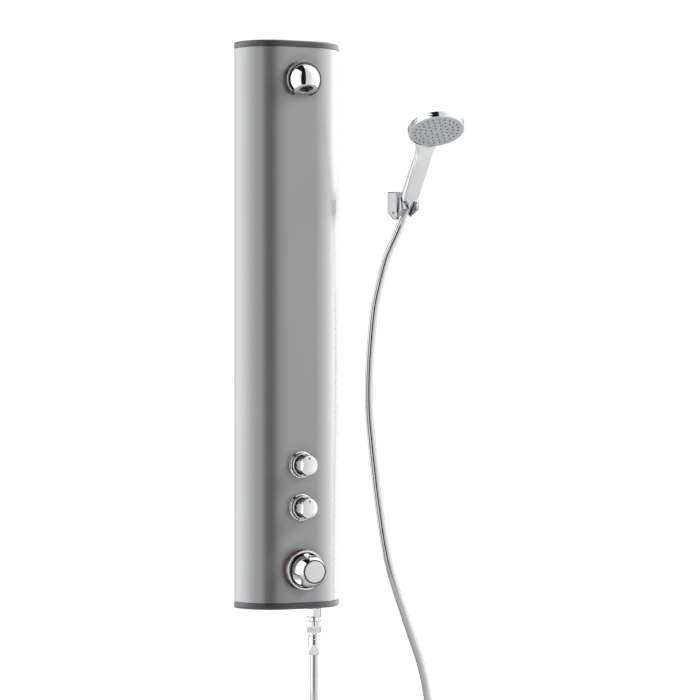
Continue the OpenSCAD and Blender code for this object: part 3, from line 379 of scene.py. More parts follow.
def coloured(material, *names):
    """Gives hidden CAD pieces their finish and leaves their meshes alone."""
    for name in names:
        cad[name].data.materials.clear()
        cad[name].data.materials.append(material)


brass = finish("brass", (0.62, 0.43, 0.17), 1.0, (0.28, 0.42), (300, 300, 300), 0.2, 0.08)
copper = finish("copper_tone", (0.68, 0.36, 0.22), 1.0, (0.24, 0.38), (300, 300, 40), 0.25, 0.05)
stainless = finish("stainless", (0.62, 0.62, 0.63), 1.0, (0.22, 0.36), (900, 900, 900), 0.15, 0.05)
white_plastic = finish("white_plastic", (0.78, 0.78, 0.76), 0.0, (0.4, 0.5), (300, 300, 300),
                       0.08, 0.03)
coloured(stainless, "upper_wall_bracket", "lower_wall_bracket")
coloured(brass, "mixer_body", "mixer_lock_nut", "cartridge_nut", "temperature_spindle",
         "hot_inlet", "cold_inlet", "valve_block", "valve_lock_nuts", "upper_spindle",
         "lower_spindle", "head_elbow", "outlet_stub")
coloured(copper, "mixed_water_pipe", "riser_pipe", "hose_pipe")
coloured(white_plastic, "thermostatic_cartridge", "check_valves", "upper_valve_cartridge",
         "lower_valve_cartridge")

# ---- End caps
# Die-cast caps, painted a satin grey, a little proud of the casing with a shadow line
# between them. Each is held by four countersunk screws into the casing's ports.
grey_paint = (0.085, 0.087, 0.091)
cap_grey = finish("cap_grey", grey_paint, 0.5, (0.3, 0.38), (3000, 3000, 900), 0.06, 0.05)
# Painted sheen: the caps' colour is lighter where they are seen at a shallow angle.
painted_sheen_aslant(cap_grey, (0.2, 0.203, 0.21), grey_paint)
cap_proud, cap_round, shadow_line = 0.5, 4, 1
screw_hole, sink_r, sink_depth = 1.9, 3.7, 2.2
outlet, outlet_bore = (36, -46, -body_h / 2), 10.6
hole_line = [(0, -1), (screw_hole, -1), (screw_hole, cap_h - sink_depth), (sink_r, cap_h + 0.01),
             (sink_r, cap_h + 2), (0, cap_h + 2)]
for name, end in (("top_cap", 1), ("bottom_cap", -1)):
    cap = raised(name + "_shell", outline(-cap_proud), case_half, cap_h)
    bpy.ops.object.mode_set(mode="EDIT")
    bpy.ops.mesh.select_mode(type="EDGE")
    bpy.ops.mesh.select_all(action="DESELECT")
    bpy.ops.object.mode_set(mode="OBJECT")
    top = (case_half + cap_h) * mm
    for edge in cap.data.edges:
        ends = [cap.data.vertices[v].co for v in edge.vertices]
        edge.select = (all(abs(v.z - top) < 1e-6 for v in ends)
                       and any(v.y < -1e-4 for v in ends))
    bpy.ops.object.mode_set(mode="EDIT")
    bpy.ops.mesh.bevel(offset=cap_round * mm, segments=8, profile=0.5, affect="EDGES")
    bpy.ops.object.mode_set(mode="OBJECT")
    step = raised("step", outline(-3), case_half - shadow_line, 2 * shadow_line)
    core = raised("core", outline(shadow_line), case_half - 2 * shadow_line, 4 * shadow_line)
    cut(step, core)
    cut(cap, step)
    for x, y in port_spots():
        cut(cap, turned("hole", hole_line, (x, y, case_half), upward, steps=32))
    if end < 0:
        only(cap)
        bpy.ops.object.mode_set(mode="EDIT")
        bpy.ops.mesh.select_all(action="SELECT")
        bpy.ops.transform.mirror(orient_type="GLOBAL", constraint_axis=(False, False, True),
                                 center_override=(0, 0, 0))
        closed_up(cap)
        cut(cap, rod("outlet_bore", outlet_bore, -2, cap_h + 2, outlet, upward))
    fitted(cap, cap_grey, "panel", "cap_grey", name)

# ---- Cap screws
# Countersunk stainless screws with a cross recess, four in each cap. They hold the caps in
# the casing's screw ports.


def broken_edges(piece, width, segments=3, angle=38):
    """A small round on every sharp edge, as polishing leaves it."""
    return applied(piece, "BEVEL", width=width * mm, segments=segments, limit_method="ANGLE",
                   angle_limit=math.radians(angle), use_clamp_overlap=True)


def dressed(name, node, edge=0.25, angle=38):
    """A finished copy of a CAD piece: merged, cleaned to flat faces, edges broken."""
    nothing_selected()
    mesh = cad[node].data.copy()
    mesh.materials.clear()
    piece = bpy.data.objects.new(name, mesh)
    mesh.name = name
    scene.collection.objects.link(piece)
    only(piece)
    bpy.ops.object.mode_set(mode="EDIT")
    bpy.ops.mesh.select_all(action="SELECT")
    bpy.ops.mesh.remove_doubles(threshold=1e-6)
    bpy.ops.mesh.dissolve_limited(angle_limit=math.radians(0.3))
    bpy.ops.object.mode_set(mode="OBJECT")
    if edge:
        broken_edges(piece, edge, 2, angle)
    return piece


screws = dressed("cap_screw_set", "cap_screws", 0.15)
fitted(screws, stainless, "panel", "stainless", "cap_screws")

# ---- Fixed head
# A chromed brass ball in a thin collar with a groove between them, both cut off by one
# slanting plane, with a spray insert sunk in the cut face. The collar's chrome is painted
# dark inside the groove as painted shade. It can't be turned or pulled off.
chrome_tone = (0.86, 0.865, 0.875)
chrome = finish("chrome", chrome_tone, 1.0, (0.02, 0.05), (70, 70, 70), 0.03, 0.004,
                Specular_Tint=(0.08, 0.08, 0.085, 1))
ball_r, ball_out, cut_reach = 29, 11, 20.2
insert_r, insert_rise = 12, 3
tilt = math.radians(22)
cut_normal = Vector((0, -math.sin(tilt), -math.cos(tilt)))
cut_centre = Vector(on_front(head_z, ball_out)) + cut_normal * cut_reach


def eased(profile, radius, steps=5):
    """The profile with each inner corner rounded off, as a lathe tool leaves it."""
    out = [profile[0]]
    for before, corner, after in zip(profile, profile[1:], profile[2:]):
        a, p, b = Vector(before), Vector(corner), Vector(after)
        reach = min(radius, 0.48 * (a - p).length, 0.48 * (b - p).length)
        start, end = p + (a - p).normalized() * reach, p + (b - p).normalized() * reach
        for i in range(steps + 1):
            t = i / steps
            out.append(tuple((1 - t) ** 2 * start + 2 * t * (1 - t) * p + t * t * end))
    out.append(profile[-1])
    return out


def trimmed(piece, centre, normal):
    """Cuts a piece off by a plane and closes the cut."""
    only(piece)
    bpy.ops.object.mode_set(mode="EDIT")
    bpy.ops.mesh.select_all(action="SELECT")
    bpy.ops.mesh.bisect(plane_co=centre * mm, plane_no=normal, use_fill=True, clear_outer=True)
    return closed_up(piece)


collar_line = [(29.3, 0), (32.9, 0), (33, 0.1), (33, 13.8), (32.8, 14), (32.5, 14), (32.4, 13.2),
               (29.1, 13.2)]
groove_edge, painted_groove_shade = 32.4, (0.2, 0.2, 0.205)
collar = turned("collar", collar_line, on_front(head_z), front, ring=True, steps=128)
trimmed(collar, cut_centre, cut_normal)
# Painted shade: inside the groove's edge the collar's chrome colour is painted dark.
chrome_with_painted_shade = chrome.copy()
chrome_with_painted_shade.name = "chrome_with_painted_groove_shade"
nodes, links = chrome_with_painted_shade.node_tree.nodes, chrome_with_painted_shade.node_tree.links
place = nodes.new("ShaderNodeTexCoord")
flat = nodes.new("ShaderNodeVectorMath")
flat.operation = "MULTIPLY"
flat.inputs[1].default_value = (1, 0, 1)
links.new(place.outputs["Object"], flat.inputs[0])
off_axis = nodes.new("ShaderNodeVectorMath")
off_axis.operation = "DISTANCE"
off_axis.inputs[1].default_value = (0, 0, head_z * mm)
links.new(flat.outputs[0], off_axis.inputs[0])
tenfold = nodes.new("ShaderNodeMath")
tenfold.operation = "MULTIPLY"
tenfold.inputs[1].default_value = 10
links.new(off_axis.outputs["Value"], tenfold.inputs[0])
groove_shade_ramp = nodes.new("ShaderNodeValToRGB")
inside_edge, outside_edge = groove_shade_ramp.color_ramp.elements
inside_edge.position, outside_edge.position = groove_edge / 100, (groove_edge + 0.3) / 100
inside_edge.color, outside_edge.color = (*painted_groove_shade, 1), (*chrome_tone, 1)
links.new(tenfold.outputs[0], groove_shade_ramp.inputs["Fac"])
links.new(groove_shade_ramp.outputs["Color"], nodes["Group"].inputs["Colour"])
fitted(collar, chrome_with_painted_shade, "panel", "chrome", "head_collar")

low = math.degrees(math.asin(ball_out / ball_r))
ball_line = [(0, 0)] + arc((0, ball_out), ball_r, -low, 90, 72)
ball = turned("ball", ball_line, on_front(head_z), front, steps=128)
trimmed(ball, cut_centre, cut_normal)
up_the_cut = Vector((0, -math.cos(tilt), math.sin(tilt)))
cut(ball, rod("socket", insert_r, -7, 3, cut_centre + up_the_cut * insert_rise, cut_normal))
broken_edges(ball, 0.35, 3)
fitted(ball, chrome, "panel", "chrome", "head_ball")

dark_plastic = finish("dark_plastic", (0.018, 0.018, 0.02), 0.0, (0.18, 0.3), (300, 300, 300))
fitted(dressed("spray_insert", "head_nozzle", 0.2), dark_plastic, "panel", "dark_plastic",
       "head_nozzle")

# ---- Flow knobs
# Two quarter-turn knobs, one over the other: a chromed rosette with a recess, and a domed
# knob with a leaning hollow for the thumb on its left and a flatter bow on its right. A red
# dot on top of the dome points up when the valve is shut.
red_plastic = finish("red_plastic", (0.55, 0.008, 0.008), 0.0, (0.12, 0.2), (200, 200, 200),
                     0.1, 0.01, Coat_Weight=0.5, Coat_Roughness=0.05)
rosette_line = [(17.3, 0), (23.6, 0), (23.6, 1.4), (21.4, 2.6), (21, 11.9), (20.3, 12.5),
                (19.2, 12.5), (19, 6), (12.8, 6), (12.8, 3.6), (17.3, 3.6)]
knob_top, dome_r, shoulder_r, shoulder_z, shoulder_round = 37, 60, 15.1, 32.8, 2.2
dome_end = math.degrees(math.acos(shoulder_r / dome_r))
knob_line = (arc((0, knob_top - dome_r), dome_r, 90, dome_end, 14)
             + arc((shoulder_r, shoulder_z), shoulder_round, 82, 0, 8)
             + [(17.3, 9.9), (17.0, 9.6), (0, 9.6)])
bow_r, bow_aside = 18, -2.8
hollow_line, hollow_aside = [(0, 0), (21.1, 0), (30.2, 50), (0, 50)], -40
dot_r, dot_floor, dot_top, dot_up = 1.9, 34.6, 36.4, 12
dot_line = [(0, dot_floor), (dot_r, dot_floor), (dot_r, dot_top), (0, dot_top)]
for place, z in (("upper", upper_z), ("lower", lower_z)):
    rosette = turned(place + "_flow_rosette", eased(rosette_line, 0.5, 4), on_front(z), front,
                     ring=True)
    fitted(rosette, chrome, "panel", "chrome", place + "_rosette")
    knob = turned(place + "_flow_knob", knob_line, on_front(z), front, steps=128)
    cut(knob, rod("bow", bow_r, 0, 50, (bow_aside, -body_d, z), front, 160), "INTERSECT")
    cut(knob, turned("hollow", hollow_line, (hollow_aside, -body_d, z), front, steps=200))
    dot_foot = on_front(z + dot_up)
    cut(knob, rod("dot_hole", dot_r + 0.06, dot_floor, 40, dot_foot, front, 32))
    broken_edges(knob, 0.45, 4, 30)
    fitted(knob, chrome, place + "_control", "chrome", place + "_knob")
    dot = turned(place + "_dot", eased(dot_line, 0.3), dot_foot, front, steps=40)
    fitted(dot, red_plastic, place + "_control", "red_plastic", place + "_index_dot")

# ---- Temperature knob
# A deep rosette over the mixer's nut, a thin ring that is red on the hot side and blue on
# the cold side, and a heavy chromed knob with three finger dishes. The sprung red button in
# the top dish lets it turn past 38 degrees. A satin disc in a dark ring covers its screw.
hot_red, cold_blue = (0.5, 0.012, 0.012), (0.01, 0.05, 0.42)
ring_plastic = finish("ring_plastic", hot_red, 0.0, (0.16, 0.26), (200, 200, 200), 0.1, 0.01,
                      Coat_Weight=0.4, Coat_Roughness=0.06)
nodes, links = ring_plastic.node_tree.nodes, ring_plastic.node_tree.links
place_on_ring = nodes.new("ShaderNodeTexCoord")
left_right = nodes.new("ShaderNodeSeparateXYZ")
links.new(place_on_ring.outputs["Object"], left_right.inputs[0])
hot_to_cold = nodes.new("ShaderNodeValToRGB")
hot_to_cold.color_ramp.interpolation = "CONSTANT"
hot_side, cold_side = hot_to_cold.color_ramp.elements
hot_side.color, cold_side.color = (*hot_red, 1), (*cold_blue, 1)
cold_side.position = 0.5
from_centre = nodes.new("ShaderNodeMath")
from_centre.operation = "ADD"
from_centre.inputs[1].default_value = 0.5
links.new(left_right.outputs["X"], from_centre.inputs[0])
links.new(from_centre.outputs[0], hot_to_cold.inputs["Fac"])
links.new(hot_to_cold.outputs["Color"], nodes["Group"].inputs["Colour"])
scale_line = [(28, 0), (34.4, 0), (34.4, 2.9), (28, 2.9)]
scale_ring = turned("hot_cold_scale", eased(scale_line, 0.3), on_front(mixer_z), front,
                    ring=True, steps=128)
fitted(scale_ring, ring_plastic, "panel", "ring_plastic", "hot_cold_ring")

deep_line = [(27.5, 4.8), (31.2, 4.8), (31.2, 3), (34.8, 3), (34.8, 21), (31.2, 21),
             (31.2, 7.8), (20.3, 7.8), (20.3, 4.8)]
deep = turned("deep_rosette", eased(deep_line, 1.4, 6), on_front(mixer_z), front, ring=True,
              steps=144)
fitted(deep, chrome, "panel", "chrome", "mixer_rosette")

grip_r, skirt_z, rim_r, rim_z = 29, 37, 20.8, 55.5
disc_r, disc_floor, disc_top = 18.9, 52.5, 58.3
dish_reach, dish_r, dish_z, dish_stretch = 36, 15, 40, 1.25
inwards, rise = grip_r - rim_r, rim_z - skirt_z
bow = (inwards ** 2 + rise ** 2) / (2 * inwards)
flank = arc((grip_r - bow, skirt_z), bow, 0, math.degrees(math.asin(rise / bow)), 30)
grip_line = [(0, 9), (grip_r - 0.4, 9), (grip_r, 9.4)] + flank
grip_line += [(disc_r, rim_z), (disc_r, disc_floor), (0, disc_floor)]
grip = turned("grip", grip_line, on_front(mixer_z), front, steps=160)
oval = [(r, h * dish_stretch) for r, h in arc((0, 0), dish_r, -90, 90, 48)]
for t in (math.radians(a) for a in (90, 210, 330)):
    dish = (dish_reach * math.cos(t), -body_d - dish_z, mixer_z + dish_reach * math.sin(t))
    cut(grip, turned("dish", oval, dish, front))
button_r, button_floor, button_out = 2.5, 14.5, 35
button_foot = on_front(mixer_z, button_out)
cut(grip, rod("button_bore", button_r + 0.06, 10.5, 40, button_foot, upward, 48))
broken_edges(grip, 0.4, 4, 30)
fitted(grip, chrome, "temperature_control", "chrome", "temperature_knob")

satin = finish("satin_metal", (0.78, 0.785, 0.79), 0.5, (0.34, 0.44), (500, 500, 500), 0.08, 0.04)
disc_line = [(0, disc_floor), (disc_r - 0.2, disc_floor), (disc_r - 0.2, disc_top), (0, disc_top)]
disc = turned("cover_disc", eased(disc_line, 0.7), on_front(mixer_z), front, steps=128)
fitted(disc, satin, "temperature_control", "satin_metal", "knob_cover")
ring_line = [(disc_r, rim_z), (rim_r, rim_z), (rim_r, disc_top - 0.4), (disc_r, disc_top - 0.4)]
dark_ring = turned("dark_ring", eased(ring_line, 0.4), on_front(mixer_z), front, ring=True,
                   steps=128)
fitted(dark_ring, dark_plastic, "temperature_control", "dark_plastic", "cover_ring")
button_line = [(0, button_floor), (button_r, button_floor), (button_r, 25.1)]
button_line += arc((0, 23.35), 3.05, 35, 90, 10)
button = turned("stop_button", button_line, button_foot, upward, steps=48)
fitted(button, red_plastic, "button", "red_plastic", "safety_button")
coloured(stainless, "knob_screw")


def sprung(node, body):
    """A finished copy of a spring's CAD piece, moving with its body, with a mesh of its own."""
    spring = fitted(dressed(node + "_wire", node, 0), stainless, body, "stainless", node)
    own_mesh(spring)


sprung("button_spring", "temperature_control")

# ---- Hose outlet and quick coupling
# A hexagon union nut on the threaded stub, the fixed half of the coupling with its spring
# and sliding sleeve, the plug, and the tapered nut on the hose. All chromed brass.
downward = (0, 0, -1)
socket_line = [(4.5, 6.3), (9.9, 6.3), (9.9, 13.4), (7.6, 13.4), (7.6, 24.5), (9, 24.5), (9, 48),
               (6.66, 48), (6.66, 28), (4.5, 28)]
plug_line = [(4, 29), (6.6, 29), (6.6, 48.2), (8.2, 48.2), (8.2, 50.3), (9.2, 50.3), (10.4, 51.3),
             (10.4, 57.4), (7.2, 57.4), (7.2, 66), (4, 66)]
lower_cone_line = [(7.3, 57.5), (10.7, 57.5), (8.6, 83.4), (7.8, 84.4), (7.3, 84.4)]
fitted(dressed("union_nut", "outlet_nut", 0.5), chrome, "panel", "chrome", "outlet_nut")
socket = turned("coupling_socket", eased(socket_line, 0.4, 4), outlet, downward, ring=True)
fitted(socket, chrome, "panel", "chrome", "coupler_body")
fitted(dressed("release_sleeve", "coupler_sleeve", 0.35), chrome, "sleeve", "chrome",
       "coupler_sleeve")
plug = turned("hose_plug", eased(plug_line, 0.4, 4), outlet, downward, ring=True)
fitted(plug, chrome, "panel", "chrome", "coupler_plug")
cone = turned("lower_cone_nut", eased(lower_cone_line, 0.5, 4), outlet, downward, ring=True)
fitted(cone, chrome, "panel", "chrome", "lower_hose_nut")
sprung("coupler_spring", "panel")

# ---- Hand shower
# A chromed plastic body: a handle with a flat front and a rounded back, drawn in to a thin
# neck that spreads behind a round head. A trim ring holds the grey spray face, and soft
# nozzles stand through its holes. It stands in its cone a little turned.
lean, face_down = math.radians(37.8), math.radians(25.3)
turn_cos, turn_sin = 0.9956, 0.0941
seat = Vector((216, -61, 227))
up_handle = Vector((0, -math.sin(lean), math.cos(lean)))
back_handset = Vector((turn_sin, turn_cos * math.cos(lean), turn_cos * math.sin(lean)))
side_handset = Vector((turn_cos, -turn_sin * math.cos(lean), -turn_sin * math.sin(lean)))
out_of_face = -back_handset * math.cos(face_down) - up_handle * math.sin(face_down)
face_out, face_up = 21.4, 158.6
face_centre = seat - back_handset * face_out + up_handle * face_up
hose_hole, rim_bore, head_r, head_joint = 7.2, 46.7, 50, -4.6
upper_cone_line = [(7.3, -34), (8.8, -34), (12, -7), (12, -0.1), (7.3, -0.1)]
upper_cone = turned("upper_cone_nut", eased(upper_cone_line, 0.5, 4), seat, up_handle, ring=True)
fitted(upper_cone, chrome, "hand_shower", "chrome", "upper_hose_nut")
# Height, then the fore and aft reach of each cross-section, its half width and the radius
# of the corners beside its flat front.
stations = [(0, -12.2, 12.7, 15.1, 7), (14, -12.6, 13, 15.9, 7), (30, -12.4, 12.7, 15.9, 7),
            (48, -12, 12.2, 15.9, 7), (71, -11.2, 11, 15.9, 6), (82, -10.6, 9.8, 15.9, 5),
            (92, -9.2, 9, 16, 4), (100, -7.2, 8.7, 16.5, 3.5), (108, -4.2, 9.2, 18, 3),
            (115, -0.8, 10.8, 20.4, 3), (122, 2.8, 13, 23.2, 3), (130, 4.6, 14.2, 25.2, 3),
            (138, 3, 13.4, 25.2, 3), (147, 0, 10, 23, 3), (156, -3, 4.6, 17, 2)]


def between(a, b, c, d, t):
    """A value on the smooth line through b and c, with a before them and d after."""
    return 0.5 * (2 * b + (c - a) * t + (2 * a - 5 * b + 4 * c - d) * t * t
                  + (3 * b - a - 3 * c + d) * t ** 3)


def across(fore, aft, half, corner):
    """Outline of one cross-section: a flat front with round corners before an oval back."""
    middle = max(fore + 0.5, min(0.35 * (fore + aft), aft - 0.5))
    back_part = [(half * math.cos(t), middle + (aft - middle) * math.sin(t))
                 for t in (math.radians(a) for a in range(0, 181, 6))]
    flat = half * 0.97
    front_part = eased([back_part[-1], (-flat, fore), (flat, fore), back_part[0]], corner, 8)
    return back_part + front_part[1:-1]


sections = []
for four in zip(stations[:1] + stations, stations, stations[1:], stations[2:] + stations[-1:]):
    for t in (0, 0.25, 0.5, 0.75):
        sections.append([between(*values, t) for values in zip(*four)])
sections.append(stations[-1])
body = None
for rise, fore, aft, half, corner in sections:
    spots = [seat + side_handset * x + back_handset * y + up_handle * rise
             for x, y in across(fore, aft, half, corner)]
    ring = drawn("section", spots, closed=True)
    bpy.ops.object.mode_set(mode="OBJECT")
    body = ring if body is None else joined("hand_shower_body", [body, ring])
only(body)
bpy.ops.object.mode_set(mode="EDIT")
bpy.ops.mesh.select_mode(type="EDGE")
bpy.ops.mesh.select_all(action="SELECT")
bpy.ops.mesh.bridge_edge_loops(type="SINGLE")
bpy.ops.mesh.select_all(action="DESELECT")
bpy.ops.mesh.select_non_manifold()
bpy.ops.mesh.edge_face_add()
closed_up(body)
head_line = [(0, -6), (46.6, -6), (46.6, head_joint), (head_r, head_joint), (head_r, -10.7),
             (49.2, -11.5), (38, -15.9), (24, -20.9), (0, -23.9)]
cut(body, rod("spray_side", head_r + 0.1, head_joint, 40, face_centre, out_of_face, 128))
head = turned("spray_head", eased(head_line, 0.8, 4), face_centre, out_of_face, steps=160)
cut(body, head, "UNION")
cut(body, rod("hose_bore", hose_hole, -1, 20, seat, up_handle, 48))
fitted(body, chrome, "hand_shower", "chrome", "handset_shell")
trim_line = [(rim_bore, -4.5), (head_r, -4.5), (head_r, -0.6), (head_r - 1, 0), (rim_bore, 0)]
trim = turned("trim_ring", eased(trim_line, 0.5, 4), face_centre, out_of_face, ring=True,
              steps=160)
fitted(trim, chrome, "hand_shower", "chrome", "handset_rim")
face_grey = finish("face_grey", (0.66, 0.67, 0.685), 0.1, (0.35, 0.45), (600, 600, 600), 0.06, 0.03)
fitted(dressed("perforated_face", "spray_face", 0.15), face_grey, "hand_shower", "face_grey",
       "spray_face")
nozzle_rubber = finish("nozzle_rubber", (0.06, 0.062, 0.066), 0.0, (0.5, 0.65), (400, 400, 400),
                       0.1, 0.03)
fitted(dressed("soft_nozzles", "nozzle_mat", 0.1), nozzle_rubber, "hand_shower", "nozzle_rubber",
       "nozzle_mat")

# ---- Wall holder
# A die-cast satin post on a hidden back plate, with a slotted knuckle, and a chromed cradle
# on a pin. The cradle is a tapered cup, open in front so that the hose can be laid in.
satin_grey = finish("satin_grey", (0.42, 0.425, 0.435), 0.9, (0.2, 0.28), (500, 500, 500), 0.06,
                    0.02, Specular_Tint=(0.1, 0.1, 0.1, 1))
pin_spot, pin_r, pin_half = (216, -16, 204), 2.5, 6.5
post = dressed("holder_body", "holder_post", 0.5)
for side in (-1, 1):
    cut(post, rod("pin_cover", pin_r + 0.4, 6.6, 6.99, pin_spot, (side, 0, 0), 48), "UNION")
fitted(post, satin_grey, "panel", "satin_metal", "holder_post")
# Painted shade: a copy of the chrome with its colour painted darker, for the cradle.
painted_shade_chrome = finish("painted_shade_chrome", (0.5, 0.505, 0.515), 1.0, (0.05, 0.1), (70, 70, 70), 0.03,
                     0.004, Specular_Tint=(0.05, 0.05, 0.055, 1))
fitted(dressed("tilting_cradle", "cradle", 0.5), painted_shade_chrome, "cradle", "chrome", "cradle")
pin = rod("tilt_axle", pin_r, -pin_half, pin_half, pin_spot, (1, 0, 0), 48)
fitted(pin, satin_grey, "panel", "stainless", "tilt_pin")
coloured(white_plastic, "holder_back_plate")

# ---- Shower hose
# A smooth hose of 14 mm with a metallic skin, 1.5 m long, crimped into a tapered nut at each
# end. It leaves the hand shower, hangs in one loop below the panel and comes up to the plug.
hose_radius, hose_length = 7, 1.505
hose_route = [(216, -66, 233), (216, -51, 214), (216, -37, 196), (213.5, -28, 178),
              (206.5, -23, 157), (197, -22, 136), (188, -22, 115), (175.5, -22, 71),
              (166, -22, 28), (159.5, -22, -30), (155.5, -23, -80), (153.5, -25, -124),
              (154, -27, -167), (157.5, -29, -210), (161.5, -31, -253), (166, -33, -297),
              (171.5, -35, -340), (177.5, -37, -383), (186, -39, -427), (198.5, -41, -471),
              (213.5, -43, -515), (229, -45, -560), (244.5, -46, -603), (257, -46, -650),
              (264, -46, -700), (262, -46, -750), (242, -46, -797), (205, -46, -828),
              (155, -46, -838), (107, -46, -826), (69, -46, -794), (46, -46, -748),
              (38, -46, -698), (36, -46, -650), (36, -46, -608), (36, -46, -566)]


def smooth_route(route, steps):
    """The same rounded line through the route's points as the solid hose follows."""
    p = [Vector(v) for v in route]
    p = [2 * p[0] - p[1]] + p + [2 * p[-1] - p[-2]]
    line = []
    for a, b, c, d in zip(p, p[1:], p[2:], p[3:]):
        line += [between(a, b, c, d, k / steps) for k in range(steps)]
    return [v * mm for v in line + [p[-2]]]


hose_line = smooth_route(hose_route, 8)
hose_curve = bpy.data.curves.new("hose", "CURVE")
hose_curve.dimensions = "3D"
hose_curve.bevel_depth = hose_radius * mm
hose_curve.bevel_resolution = 10
hose_curve.use_fill_caps = True
strand = hose_curve.splines.new("POLY")
strand.points.add(len(hose_line) - 1)
for point, spot in zip(strand.points, hose_line):
    point.co = (*spot, 1)
hose = bpy.data.objects.new("shower_hose", hose_curve)
scene.collection.objects.link(hose)
only(hose)
bpy.ops.object.convert(target="MESH")
hose = bpy.context.object
hose_skin = finish("hose_skin", (0.62, 0.63, 0.65), 0.95, (0.1, 0.16), (60, 60, 60), 0.05,
                   Specular_Tint=(0.1, 0.1, 0.1, 1))
hose.data.materials.clear()
hose.data.materials.append(hose_skin)
smoothed(hose, 60)
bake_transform(hose)
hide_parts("hose")

# ---- Floor, backdrop and light
# A pale floor below the hose that fades into white and takes the object's shadow. At its
# edge the camera sees plain white, and metal sees a little less.
floor_r, floor_centre = 1.6, (0.1, -0.1, -0.9)
fade_start, fade_end = 0.7, 1.55
floor_tone, edge_glow = (0.64, 0.64, 0.64, 1), 0.8
nothing_selected()
bpy.ops.mesh.primitive_circle_add(vertices=96, radius=floor_r, fill_type="NGON",
                                  location=floor_centre)
floor = bpy.context.object
floor.name = "floor"
bpy.ops.object.transform_apply(location=True)
floor_paint = bpy.data.materials.new("floor_paint")
floor_paint.use_nodes = True
nodes, links = floor_paint.node_tree.nodes, floor_paint.node_tree.links
matt = nodes["Principled BSDF"]
matt.inputs["Base Color"].default_value = floor_tone
matt.inputs["Roughness"].default_value = 0.8
white_edge = nodes.new("ShaderNodeEmission")
watcher = nodes.new("ShaderNodeLightPath")
level = nodes.new("ShaderNodeMapRange")
level.inputs["To Min"].default_value = edge_glow
links.new(watcher.outputs["Is Camera Ray"], level.inputs["Value"])
links.new(level.outputs["Result"], white_edge.inputs["Strength"])
spot = nodes.new("ShaderNodeTexCoord")
far = nodes.new("ShaderNodeVectorMath")
far.operation = "LENGTH"
links.new(spot.outputs["Object"], far.inputs[0])
fade = nodes.new("ShaderNodeMapRange")
fade.interpolation_type = "SMOOTHSTEP"
fade.inputs["From Min"].default_value = fade_start
fade.inputs["From Max"].default_value = fade_end
links.new(far.outputs["Value"], fade.inputs["Value"])
blend = nodes.new("ShaderNodeMixShader")
links.new(fade.outputs["Result"], blend.inputs[0])
links.new(matt.outputs[0], blend.inputs[1])
links.new(white_edge.outputs[0], blend.inputs[2])
links.new(blend.outputs[0], nodes["Material Output"].inputs["Surface"])
floor.data.materials.append(floor_paint)

# The room by direction: the right wall goes on overhead, the left one ends below a dark
# ceiling, and behind the panel all is white. The camera, metal and glass see this room,
# and every other surface gets a plain even light from it. Each band is an angle, with 0
# straight ahead of the panel and 90 to its right, and the brightness of the wall there.
room_bands = [(-180, 1.0), (-150, 1.4), (-128, 1.8), (-110, 1.8), (-98, 1.7), (-87, 1.5),
              (-75, 1.3), (-62, 1.12), (-50, 1.0), (-30, 0.9), (-10, 0.74), (6, 0.7), (28, 0.9),
              (45, 1.1), (57, 1.2), (75, 1.3), (90, 1.7), (108, 2.2), (125, 1.8), (140, 1.1),
              (180, 1.0)]
gap_tone, fill_tone = (0.012, 0.012, 0.013, 1), (0.4, 0.4, 0.4, 1)
wall_edge, ceiling_edge = 0.03, 0.04
world = bpy.data.worlds.new("studio")
scene.world = world
world.use_nodes = True
nodes, links = world.node_tree.nodes, world.node_tree.links
direction = nodes.new("ShaderNodeTexCoord")
parts = nodes.new("ShaderNodeSeparateXYZ")
links.new(direction.outputs["Generated"], parts.inputs[0])


def sum_of(*terms):
    """Adds up sockets times numbers."""
    total = None
    for socket, factor in terms:
        add = nodes.new("ShaderNodeMath")
        add.operation = "MULTIPLY_ADD"
        links.new(socket, add.inputs[0])
        add.inputs[1].default_value = factor
        if total:
            links.new(total, add.inputs[2])
        else:
            add.inputs[2].default_value = 0
        total = add.outputs[0]
    return total


def pair(operation, a, b):
    """One sum, product or comparison of two sockets."""
    node = nodes.new("ShaderNodeMath")
    node.operation = operation
    for socket, value in zip(node.inputs, (a, b)):
        if hasattr(value, "links"):
            links.new(value, socket)
        else:
            socket.default_value = value
    return node.outputs[0]


def soft_step(value, width):
    """0 below zero and 1 from the width upwards, with a soft edge between."""
    node = nodes.new("ShaderNodeMapRange")
    node.interpolation_type = "SMOOTHSTEP"
    node.inputs["From Max"].default_value = width
    links.new(value, node.inputs["Value"])
    return node.outputs["Result"]


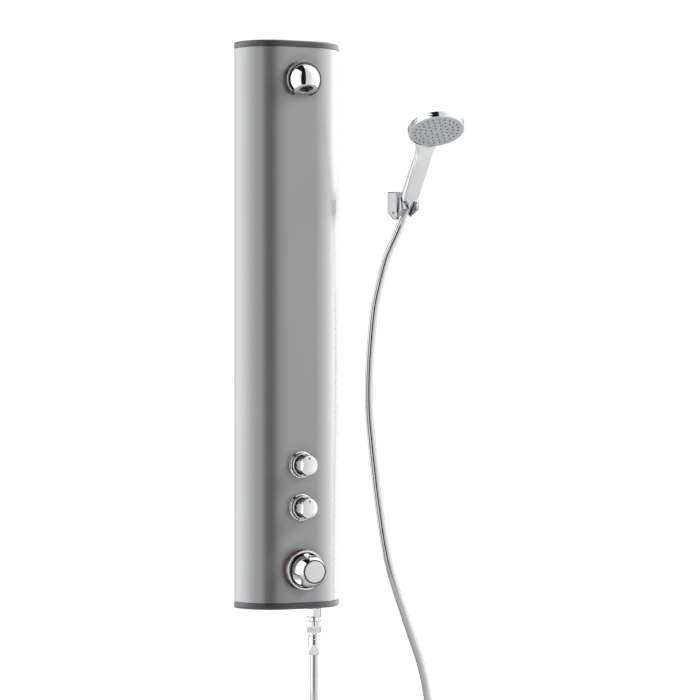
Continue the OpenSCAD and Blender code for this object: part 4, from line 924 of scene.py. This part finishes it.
x, y, z = (parts.outputs[k] for k in "XYZ")
turn = pair("ARCTAN2", x, sum_of((y, -1)))
share = nodes.new("ShaderNodeMath")
share.operation = "MULTIPLY_ADD"
share.inputs[1].default_value = 1 / math.tau
share.inputs[2].default_value = 0.5
links.new(turn, share.inputs[0])
bands = nodes.new("ShaderNodeValToRGB")
ramp = bands.color_ramp
while len(ramp.elements) < len(room_bands):
    ramp.elements.new(0.5)
for element, (angle, level) in zip(ramp.elements, room_bands):
    element.position = 0.5 + angle / 360
    element.color = (level, level, level, 1)
links.new(share.outputs[0], bands.inputs["Fac"])
# Seen from the panel, the dark gap lies between 11 and 44 degrees to the left of straight
# ahead. The left wall's top is 59 degrees up at the side and 24 degrees up behind the panel.
right_wall = soft_step(sum_of((x, 0.983), (y, -0.184)), wall_edge)
left_end = soft_step(sum_of((x, -1), (y, 0.966)), wall_edge)
wall_top = pair("MAXIMUM", sum_of((x, -1.65)), sum_of((y, 0.45)))
under_top = soft_step(sum_of((wall_top, 1), (z, -1)), ceiling_edge)
walls = pair("MAXIMUM", right_wall, pair("MULTIPLY", left_end, under_top))
lit = nodes.new("ShaderNodeMix")
lit.data_type = "RGBA"
links.new(walls, lit.inputs["Factor"])
lit.inputs["A"].default_value = gap_tone
links.new(bands.outputs["Color"], lit.inputs["B"])
seen = nodes.new("ShaderNodeLightPath")
shown = sum_of((seen.outputs["Is Camera Ray"], 1), (seen.outputs["Is Glossy Ray"], 1),
               (seen.outputs["Is Transmission Ray"], 1))
view = nodes.new("ShaderNodeMix")
view.data_type = "RGBA"
links.new(shown, view.inputs["Factor"])
view.inputs["A"].default_value = fill_tone
links.new(lit.outputs["Result"], view.inputs["B"])
links.new(view.outputs["Result"], nodes["Background"].inputs["Color"])

# One large soft lamp from the upper right, turned towards the panel. It gives the shadow
# and the light on the paint, and polished metal doesn't mirror it.
lamp_spot, lamp_aim = Vector((2.2, -2.0, 2.0)), Vector((0, 0, -0.1))
lamp_data = bpy.data.lights.new("key_lamp", "AREA")
lamp_data.shape, lamp_data.size, lamp_data.energy = "DISK", 1.4, 110
lamp = bpy.data.objects.new("key_lamp", lamp_data)
scene.collection.objects.link(lamp)
lamp.location = lamp_spot
lamp.rotation_euler = (lamp_aim - lamp_spot).to_track_quat("-Z", "Y").to_euler()
lamp.visible_glossy = False
scene.view_settings.view_transform = "Standard"
